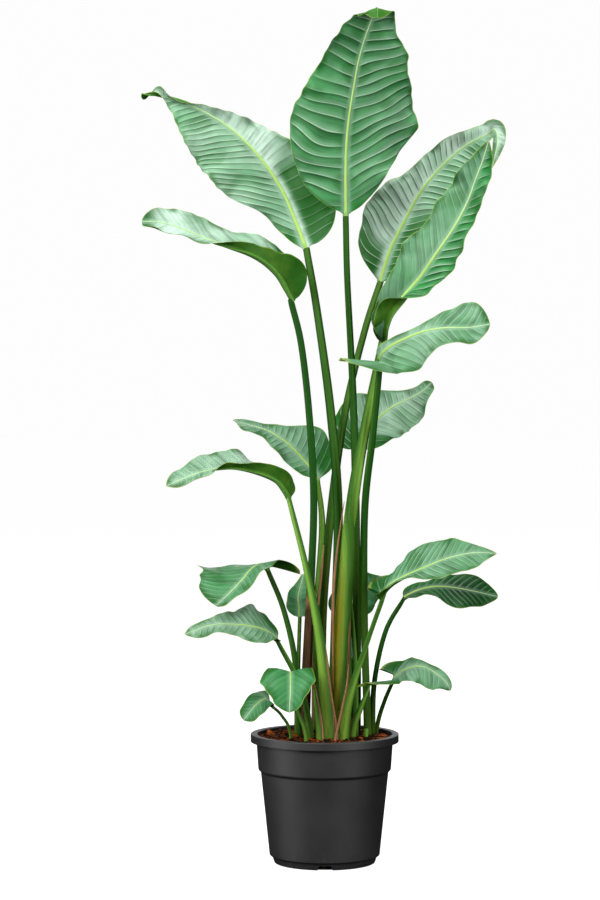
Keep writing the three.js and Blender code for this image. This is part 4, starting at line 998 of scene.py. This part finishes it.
# ---- Stalks ----
def stalk_surface(path, wide, flat, bow, top, rings, size):
    """Rings of a stalk along its path. The section is an ellipse whose edges are bowed towards the clump,
    and it turns round and upright towards the blade. A channel is pressed into the inner side. Returns the
    rings, the cosine and sine of the place round the section, the share of length of each ring, and the
    path's curve."""
    line = Line(path)
    s = np.linspace(0, 1, rings)
    inward = unit((CENTRE - line.points[0]) * [1, 1, 0])
    tangent = line.tangent(s)
    inner = np.broadcast_to(inward, tangent.shape)
    blend = np.zeros((rings, 1))
    if top:
        blend = ramp(0.2, 0.9, s)[:, None]
        inner = inner + blend * (top["normal"] - inner)
        tangent = unit(tangent + ramp(0.93, 1, s)[:, None] * (top["tangent"] - tangent))
    y = square_to(inner, tangent)
    x = np.cross(y, tangent)
    width = number_through(wide, s)[:, None]
    depth = width * (flat + (1 - flat) * blend)
    turn = np.linspace(0, 2 * math.pi, size, endpoint=False)
    cosine, sine = np.cos(turn), np.sin(turn)
    groove = CHANNEL * width * np.exp(-(cosine / 0.4) ** 2) * (sine > 0) * ramp(0, 0.3, s)[:, None]
    across = width * cosine
    inwards = depth * sine + bow * (1 - blend) * cosine ** 2 - groove * np.abs(sine)
    points = line.at(s)[:, None] + across[..., None] * x[:, None] + inwards[..., None] * y[:, None]
    return points, cosine, sine, s, line


def stalk_parts(leaf):
    """Path and top frame of a leaf's stalk: it ends under the midrib's base, just short of the blade."""
    rib = Line(leaf["rib"])
    tangent = rib.tangent(np.zeros(1))[0]
    normal = square_to(np.array(leaf["face"][0], float), tangent)
    end = rib.at(np.zeros(1))[0] - 1.3 * GAP * tangent - 0.7 * leaf["stalk"][-1] * normal
    foot = [[*point, STALK_FOOT] if len(point) == 2 else point for point in leaf["foot"]]
    return [*foot, end.tolist()], {"tangent": tangent, "normal": normal}


def stalk_values(rings, cosine, sine, s, line, look):
    """Numbers that the stalk's material reads: millimetres round and along, a tone that is darker at both
    sides as painted shade where the sides turn from the light, and how dry or olive each place is."""
    height = rings[..., 2]
    side = np.abs(cosine)
    girth = 9 * np.arctan2(sine, cosine)  # as on a stalk of middling radius
    limit = look["dry"]
    edge = ramp(0.8, 1.0, side)[None] * ramp(limit + 0.01, limit * 0.6, s)[:, None] * (limit > 0)
    foot = 0.4 * ramp(300, 225, height)
    dead = look["old"] * ramp(510, 450, height) + look["papery"]
    olive = look["olive"] * ramp(0.75, 0.1, cosine)[None] * ramp(0.6, 0.35, s)[:, None]
    # Painted shade: the tone falls towards the dark colour at both sides of the section.
    tone = look["tone"] * (1 - 0.8 * ramp(0.3, 0.95, side))
    return {
        "girth": girth + 0 * height,
        "reach": (s * line.length)[:, None] + 0 * height,
        "dry": edge + foot * edge + dead,
        "olive": olive + 0.2 * foot,
        "tone": tone + 0 * height,
    }


def build_stalk(name, shape, look_name, material, rings, size, top=None):
    """A stalk, shoot or strip as one closed piece. A stalk that carries a blade gets one more, smaller
    ring, which is tucked into the blade's base."""
    points, cosine, sine, s, line = stalk_surface(**shape, top=top, rings=rings, size=size)
    look = dict(zip(STALK_KEYS, STALK_LOOKS[look_name]))
    values = stalk_values(points, cosine, sine, s, line, look)
    if top:
        tuck = points[-1:] + 5 * top["tangent"]
        points = np.concatenate([points, 0.3 * tuck.mean(1, keepdims=True) + 0.7 * tuck])
        values = {key: np.concatenate([v, v[-1:]]) for key, v in values.items()}
    # The last two values are those of the points that close the ends.
    values = {key: np.concatenate([v.ravel(), [v[0].mean(), v[-1].mean()]]) for key, v in values.items()}
    return make_mesh(name, *tube(points), material, values)


class StalkSettings(bpy.types.PropertyGroup):
    sides: IntProperty(name="Sides", description="Faces round a stalk", default=40, min=10)
    # The dark colour is also the painted shade at a stalk's sides.
    dark: colour_setting("Dark", "Dark green skin", "#0d4106")
    light: colour_setting("Light", "Yellow-green skin", "#7cab40")
    olive: colour_setting("Olive", "Aged foot of a stalk", "#6e6306")
    brown: colour_setting("Brown", "Dead sheath edge", "#3b2110")
    rotten: colour_setting("Rotten", "Old sheath, wet and dark", "#241703")
    straw: colour_setting("Straw", "Papery sheath edge", "#ab7f5a")


class PLANT_OT_stalks(bpy.types.Operator):
    """Build the leaf stalks"""

    bl_idname = "plant.stalks"
    bl_label = "Stalks"

    def execute(self, context):
        look = context.scene.plant_stalks
        material = stalk_material(look)
        for name, leaf in LEAVES.items():
            path, top = stalk_parts(leaf)
            shape = {"path": path, "wide": leaf["stalk"], "flat": leaf["flat"], "bow": leaf["bow"]}
            piece = build_stalk(f"stalk_{name}", shape, name, material, 120, look.sides, top)
            stand_for(piece, "stalk", f"stem_{name}")
        return {"FINISHED"}


class PLANT_OT_shoots(bpy.types.Operator):
    """Build the old sheaths, the rolled new leaf, the cut stalk and the dry strips"""

    bl_idname = "plant.shoots"
    bl_label = "Old sheaths and new leaf"

    def execute(self, context):
        look = context.scene.plant_stalks
        material = stalk_material(look)
        for name, shape in SHOOTS.items():
            piece = build_stalk(f"shoot_{name}", shape, name, material, 60, look.sides)
            stand_for(piece, "stalk" if name == "spear" else "sheath", name)
        for name, strip in STRIPS.items():
            piece = build_stalk(f"strip_{name}", {**strip, **STRIP_SECTION}, "strip", material, 60, 16)
            stand_for(piece, "sheath")
        return {"FINISHED"}


# ---- Blades ----
def rib_radius(leaf, s):
    """Half width of the midrib, which tapers evenly towards the tip."""
    return leaf["stalk"][-1] * (1 - RIB_TAPER * s)


def half_width(leaf, side, s):
    """Half width of one side: its own values, closed as a quarter circle at the base and drawn in at the
    tip."""
    share, power = leaf["tip"]
    base = 1 - np.clip(s / BASE_SHARE, 0, 1)
    tip = 1 - np.clip((1 - s) / share, 0, 1)
    width = number_through(leaf["width"][side], s) * np.sqrt(1 - base ** 2) * (1 - tip ** 2) ** power
    tail = leaf["tail"][side]
    return np.maximum(np.maximum(width, TAIL_OPEN * base if tail else 0), rib_radius(leaf, s) * 1.05)


def blade_surface(leaf, rib, side, s, out):
    """Points of one side of a blade's upper surface, with where it faces, its station and its distance from
    the rib. s is the share of the rib where a row starts and out the share of the half width. A row's
    margin is swept ahead along the side veins, and near the base it runs back into the lobe. Each row
    leaves the rib at its fold angle and bends away along an arc. Ripples grow towards the margin."""
    widest = max(leaf["width"][side])
    width = half_width(leaf, side, s)
    distance = out * width
    ahead = SWEEP * distance * out / rib.length * (1 - 0.6 * s) * np.minimum(s / 0.15, 1)
    clear = np.maximum(distance - LOBE_CLEAR * rib_radius(leaf, 0), 0)
    behind = leaf["lobe"][side] * clear / rib.length * np.maximum(1 - s / 0.35, 0) ** 2
    station = s + ahead - behind
    tangent = rib.tangent(station)
    normal = square_to(through(leaf["face"], station), tangent)
    across = np.cross(tangent, normal) * (1, -1)[side == 0]
    fold = np.radians(number_through(leaf["fold"][side], station))
    bend = np.radians(number_through(leaf["curl"][side], station)) / widest
    straight = 1e-6
    bend = np.where(np.abs(bend) < straight, straight, bend)
    end = fold - bend * distance
    facing = np.cos(end)[..., None] * normal - np.sin(end)[..., None] * across
    points = rib.at(station) + ((np.sin(fold) - np.sin(end)) / bend)[..., None] * across
    points += ((np.cos(end) - np.cos(fold)) / bend)[..., None] * normal
    turn = 2 * math.pi * (leaf["waves"] * station + (0, 0.35)[side])
    fade = np.clip(4 * width / widest - 0.4, 0, 1)
    points += (leaf["wave"][side] * out ** 2.2 * np.sin(turn) * fade)[..., None] * facing
    tail = leaf["tail"][side]
    if tail:
        near = np.clip(1 - s / BASE_SHARE, 0, 1)
        points += ((1 - (1 - near) ** 2) * np.maximum(2 * out - 1, 0) ** 1.5)[..., None] * np.array(tail)
    return points, facing, station, distance


def stations(leaf, length, step):
    """Where the rows start: even along the middle, and along quarter circles at both ends, where the outline
    turns."""
    tip = leaf["tip"][0]
    first = BASE_SHARE * (1 - np.cos(np.linspace(0, math.pi / 2, int(BASE_SHARE * length * 1.6 / step) + 12)))
    last = 1 - tip * (1 - np.cos(np.linspace(math.pi / 2, 0, int(tip * length * 1.6 / step) + 8)))
    middle = np.linspace(BASE_SHARE, 1 - tip, int((1 - tip - BASE_SHARE) * length / step))
    return np.concatenate([first, middle[1:-1], last])


def of_side(value, side):
    """A leaf's value for one side: one number for both sides, or a left and a right one."""
    return value[side] if isinstance(value, tuple) else value


def blade_relief(leaf, look, seed, side, along, distance, off_rib, off_edge):
    """Height of the fine form in millimetres, and millimetres run across the side veins. Veins leave the
    rib at their own slope and hook ahead near the margin. Each is a crest: the blade falls away ahead of it
    along a parabola over seven tenths of the gap and rises to the next along a steeper one, and this dies
    out at the rib and the margin. Slow buckles and the margin's ruffles are sums of seeded sines."""
    widest = max(leaf["width"][side])
    gap = look["gap"]
    run = along - look["ahead"] * distance - 0.12 * distance ** 3 / widest ** 2
    run = run + 0.13 * gap * ripples(along, distance, 85, seed + 100 + side)
    u = run / gap % 1
    fall = 0.7
    swell = np.where(u < fall, 1 - u / fall, (u - fall) / (1 - fall)) ** 2
    uneven = np.clip(0.75 + 0.35 * ripples(along, distance, 70, seed + 200), 0.1, 1.6)
    height = look["pleat"] * swell * uneven * ramp(0, 12, off_rib) * ramp(0, 9, off_edge)
    height += 1.2 * ripples(along, distance, 85, seed + 300) * ramp(0, 40, off_rib)
    ruffle = look["ruffle"] * ripples(along, 0 * distance, 32, seed + 400)
    height += ruffle * ramp(26, 0, off_edge) * ramp(0, 25, off_rib)
    return height, run


def blade_side(leaf, look, seed, rib, side, s, columns):
    """One side of a blade from its rib out: columns over the rib, which stands up as an arc, and then to
    the margin. Returns its upper and lower points, where they face, and the numbers that the blade's
    material reads."""
    look = {key: of_side(value, side) for key, value in look.items()}
    radius = rib_radius(leaf, s)[:, None]
    width = half_width(leaf, side, s)[:, None]
    edge = np.minimum(radius / width, 0.8)
    over_rib = np.array([0, 0.2, 0.38, 0.5, 0.54, 0.58, 0.8, 1])
    x = np.linspace(0, 1, columns)[1:]
    spread = 0.5 * x + 0.25 * (1 - np.cos(math.pi * x))
    out = np.concatenate([edge * over_rib, edge + (1 - edge) * spread], axis=1)
    by_margin = 1 - np.minimum(0.8 / width, 0.3 * (1 - out[:, -2:-1]))
    out = np.concatenate([out[:, :-1], by_margin, out[:, -1:]], axis=1)
    s = np.broadcast_to(s[:, None], out.shape)
    nibble = ripples(s * rib.length, 0 * s, 34, seed + 500) * ramp(0.7, 1, out) * ramp(8, 30, width)
    rough = 1 + 0.8 / width * nibble
    points, facing, station, distance = blade_surface(leaf, rib, side, s, out * rough)

    along = station * rib.length
    off_rib = np.maximum(out - edge, 0) * width
    off_edge = (1 - out) * width
    height, run = blade_relief(leaf, look, seed, side, along, distance, off_rib, off_edge)
    rise = RIB_RISE * radius * np.sqrt(np.clip(1 - (out / edge / RIB_SHOW) ** 2, 0, 1)) * ramp(0, 0.02, s)
    keel = RIB_KEEL * radius * np.sqrt(np.clip(1 - (out / edge) ** 2, 0, 1))
    upper = points + (height + rise)[..., None] * facing
    lower = points + (height - keel)[..., None] * facing

    # Saturated dark green: by the margin and in patches it is the leaf's own colour; at the tip and on the
    # basal lobes, up to a side vein that starts at the given share of the rib, it is painted shade.
    fresh_and_shade = 0.8 * ramp(16, 0, off_edge) * ramp(-0.4, 0.9, ripples(along, distance, 40, seed + 600))
    patch = 0.5 - 0.4 * max(look["pale"], 0)
    fresh_and_shade = np.maximum(fresh_and_shade, patch * ramp(0.4, 1.6, ripples(along, distance, 70, seed + 700)))
    green = look["green"]
    lobe = ramp(green + 0.05, green - 0.05, run / rib.length) * ramp(3, 20, distance)
    fresh_and_shade = np.maximum(fresh_and_shade, 0.92 * np.maximum(lobe, ramp(0.92, 0.98, station)))
    # The pale wax colour, partly painted sheen, is held back on the shaded basal lobes and varies slowly.
    uneven = np.clip(0.85 + 0.15 * ripples(along, distance, 90, seed + 800), 0, 1.2)
    values = {
        "run": run,
        "out": distance,
        "rib": ramp(RIB_SHOW + 0.04, RIB_SHOW - 0.02, out / edge),
        "off_rib": off_rib,
        "off_edge": off_edge,
        "station": station,
        "fresh_and_shade": fresh_and_shade,
        "dry": look["dry"] * (ramp(26, 0, (1 - s) * rib.length) + 0.55 * ramp(2.5, 0, off_edge)),
        "pale": look["pale"] * (1 - 0.8 * lobe) * uneven,
        "gap": 0 * run + look["gap"],
        "bold": 0 * run + min(0.6 * look["pleat"], 1),
    }
    return upper, lower, facing, values


def both_sides(left, right):
    """Two sides' grids as one, from the left margin over the rib to the right margin."""
    return np.concatenate([left[:, :0:-1], right], axis=1)


class BladeSettings(bpy.types.PropertyGroup):
    thickness: FloatProperty(name="Thickness", description="Thickness of a blade", default=0.6 * MM,
                             precision=5, unit="LENGTH", subtype="DISTANCE")
    step: FloatProperty(name="Row step", description="Distance between rows of faces", default=1.6 * MM,
                        precision=5, unit="LENGTH", subtype="DISTANCE")
    gloss: FloatProperty(name="Roughness", description="Roughness of the waxed upper side", default=0.42)
    wax: FloatProperty(name="Wax", description="Weight of the clear wax coat", default=0.03)
    # The dark line by a side vein is painted shade in its crease.
    crease: FloatProperty(name="Crease", description="Strength of the dark line by a side vein", default=0.75)
    upper: colour_setting("Upper side", "Blue-green upper side", "#1d7431")
    # The waxed colour is the leaf's pale wax and also painted sheen on upper sides tilted to the softboxes.
    wax_and_sheen: colour_setting("Waxed", "Upper side under pale wax", "#b0cab8")
    # This saturated green is also painted shade on the basal lobes and at the tip.
    fresh_and_shade: colour_setting("Fresh", "Saturated green near the margins", "#10500a")
    # The deep colour is also painted shade in creases, along pleat bands and on shaded upper sides.
    deep: colour_setting("Deep", "Darkest green of the upper side", "#08340f")
    vein: colour_setting("Side veins", "Pale side veins", "#bcd6ba")
    rib: colour_setting("Midrib", "Midrib on the upper side", "#96b85e")
    rib_under: colour_setting("Midrib below", "Midrib on the underside", "#578a38")
    under: colour_setting("Underside", "Olive underside", "#2f5f14")
    under_pale: colour_setting("Underside, pale", "Pale parts of the underside", "#45711b")
    under_vein: colour_setting("Veins below", "Veins on the underside", "#2f5c18")
    margin: colour_setting("Margin", "Thin pale margin", "#93a845")
    brown: colour_setting("Brown", "Dry tips and margin spots", "#5e3d1a")


class PLANT_OT_blades(bpy.types.Operator):
    """Build the leaf blades"""

    bl_idname = "plant.blades"
    bl_label = "Blades"

    def execute(self, context):
        settings = context.scene.plant_blades
        material = blade_material(settings)
        for seed, (name, leaf) in enumerate(LEAVES.items()):
            look = dict(zip(LOOK_KEYS, LOOKS[name]))
            rib = Line(leaf["rib"])
            s = stations(leaf, rib.length, settings.step / MM)
            columns = int(max(map(max, leaf["width"])) / LINE_GAP) + 6
            left, right = (blade_side(leaf, look, seed, rib, side, s, columns) for side in (0, 1))
            upper, lower, facing = map(both_sides, left[:3], right[:3])
            points, faces = sheet(upper, lower - settings.thickness / MM * facing)
            values = {"under": np.tile(np.repeat([0, 1], upper.shape[1]), (len(upper), 1))}
            for key in left[3]:
                both = both_sides(left[3][key], right[3][key])
                values[key] = np.concatenate([both, both[:, ::-1]], axis=1)
            stand_for(make_mesh(f"blade_{name}", points, faces, material, values), "blade", f"leaf_{name}")
        return {"FINISHED"}


# ---- Stage ----
# Square softboxes: where each stands, the point that it looks at, its side in metres and its power in watts.
MIDDLE = (0, 0, 0.8)
SOFTBOXES = {
    "top": ((-0.4, -0.6, 3.6), MIDDLE, 2.0, 105),
    "key": ((-2.2, -3.2, 2.6), MIDDLE, 2.2, 178),
    "fill": ((2.7, -2.8, 1.3), MIDDLE, 2.4, 122),
    "back": ((0.6, 2.8, 2.6), MIDDLE, 2.6, 55),
    "low": ((-2.6, -0.9, 0.5), (0, 0, 0.2), 1.6, 45),
}
FLOOR_RADIUS = 30000
FLOOR_TOP = -1
FLOOR_UNDERSIDE = -10
WHITE = (1, 1, 1, 1)


class StageSettings(bpy.types.PropertyGroup):
    eye: FloatVectorProperty(name="Camera", description="Where the camera stands", subtype="TRANSLATION",
                             unit="LENGTH", default=(-0.045, -5.0, 0.905))
    aim: FloatVectorProperty(name="Aim", description="Point in the middle of the view", subtype="TRANSLATION",
                             unit="LENGTH", default=(-0.045, 0.0, 0.752))
    lens: FloatProperty(name="Lens", description="Focal length in millimetres, 36 mm sensor", default=110.04)
    glow: FloatProperty(name="Glow", description="Light that comes up through the white floor", default=0.985)
    white: FloatProperty(name="White", description="Brightness of the backdrop", default=0.985)
    backdrop: colour_setting("Backdrop", "Floor and backdrop", "#8c8c8c")


def place_looking(name, data, place, aim):
    """An object with this camera or light data, which stands at a place and looks at a point."""
    thing = bpy.data.objects.new(name, data)
    thing.location = place
    thing.rotation_euler = (Vector(aim) - Vector(place)).to_track_quat("-Z", "Y").to_euler()
    bpy.context.scene.collection.objects.link(thing)
    return thing


class PLANT_OT_stage(bpy.types.Operator):
    """Build the floor, the lights and the camera"""

    bl_idname = "plant.stage"
    bl_label = "Stage"

    def execute(self, context):
        scene = context.scene
        stage = scene.plant_stage
        lens = bpy.data.cameras.new("camera")
        lens.lens = stage.lens
        lens.sensor_width = 36
        scene.camera = place_looking("camera", lens, stage.eye, stage.aim)

        turn = np.linspace(0, 2 * math.pi, 64, endpoint=False)
        disc = np.stack([np.cos(turn), np.sin(turn), 0 * turn], -1) * FLOOR_RADIUS
        rings = np.stack([disc + [0, 0, FLOOR_TOP], disc + [0, 0, FLOOR_UNDERSIDE]])
        paint, _, shader = new_material("Stage paint", Roughness=0.9, Emission_Strength=stage.glow)
        shader.inputs["Base Color"].default_value = stage.backdrop
        shader.inputs["Emission Color"].default_value = WHITE
        floor = make_mesh("floor", *tube(rings), paint, smooth=False)
        floor.visible_diffuse = False
        floor.visible_glossy = False

        # The white backdrop is only looked at: all light on the plant comes from the softboxes.
        world = bpy.data.worlds.new("studio")
        world.use_nodes = True
        background = world.node_tree.nodes["Background"]
        background.inputs["Color"].default_value = WHITE
        background.inputs["Strength"].default_value = stage.white
        world.cycles_visibility.diffuse = False
        world.cycles_visibility.glossy = False
        scene.world = world
        for name, (place, aim, size, power) in SOFTBOXES.items():
            light = bpy.data.lights.new(name, "AREA")
            light.size = size
            light.energy = power
            place_looking(name, light, place, aim)
        scene.view_settings.view_transform = "Standard"
        return {"FINISHED"}


# ---- Panel and registration ----
class PLANT_PT_panel(bpy.types.Panel):
    """Lists the pieces of the plant"""

    bl_idname = "PLANT_PT_panel"
    bl_label = "Potted plant"
    bl_space_type = "VIEW_3D"
    bl_region_type = "UI"
    bl_category = "Plant"

    def draw(self, context):
        for operator in OPERATORS:
            self.layout.operator(operator.bl_idname)


SETTINGS = {
    "plant_pot": PotSettings,
    "plant_soil": SoilSettings,
    "plant_stalks": StalkSettings,
    "plant_blades": BladeSettings,
    "plant_stage": StageSettings,
}
OPERATORS = (PLANT_OT_stage, PLANT_OT_pot, PLANT_OT_soil, PLANT_OT_stalks, PLANT_OT_shoots, PLANT_OT_blades)


def register():
    for cls in (*SETTINGS.values(), *OPERATORS, PLANT_PT_panel):
        bpy.utils.register_class(cls)
    for name, cls in SETTINGS.items():
        setattr(bpy.types.Scene, name, PointerProperty(type=cls))


def unregister():
    for name in SETTINGS:
        delattr(bpy.types.Scene, name)
    for cls in reversed((*SETTINGS.values(), *OPERATORS, PLANT_PT_panel)):
        bpy.utils.unregister_class(cls)


def main():
    register()
    bpy.ops.plant.stage()
    bpy.ops.plant.pot()
    bpy.ops.plant.soil()
    bpy.ops.plant.stalks()
    bpy.ops.plant.shoots()
    bpy.ops.plant.blades()


if __name__ == "__main__":
    main()
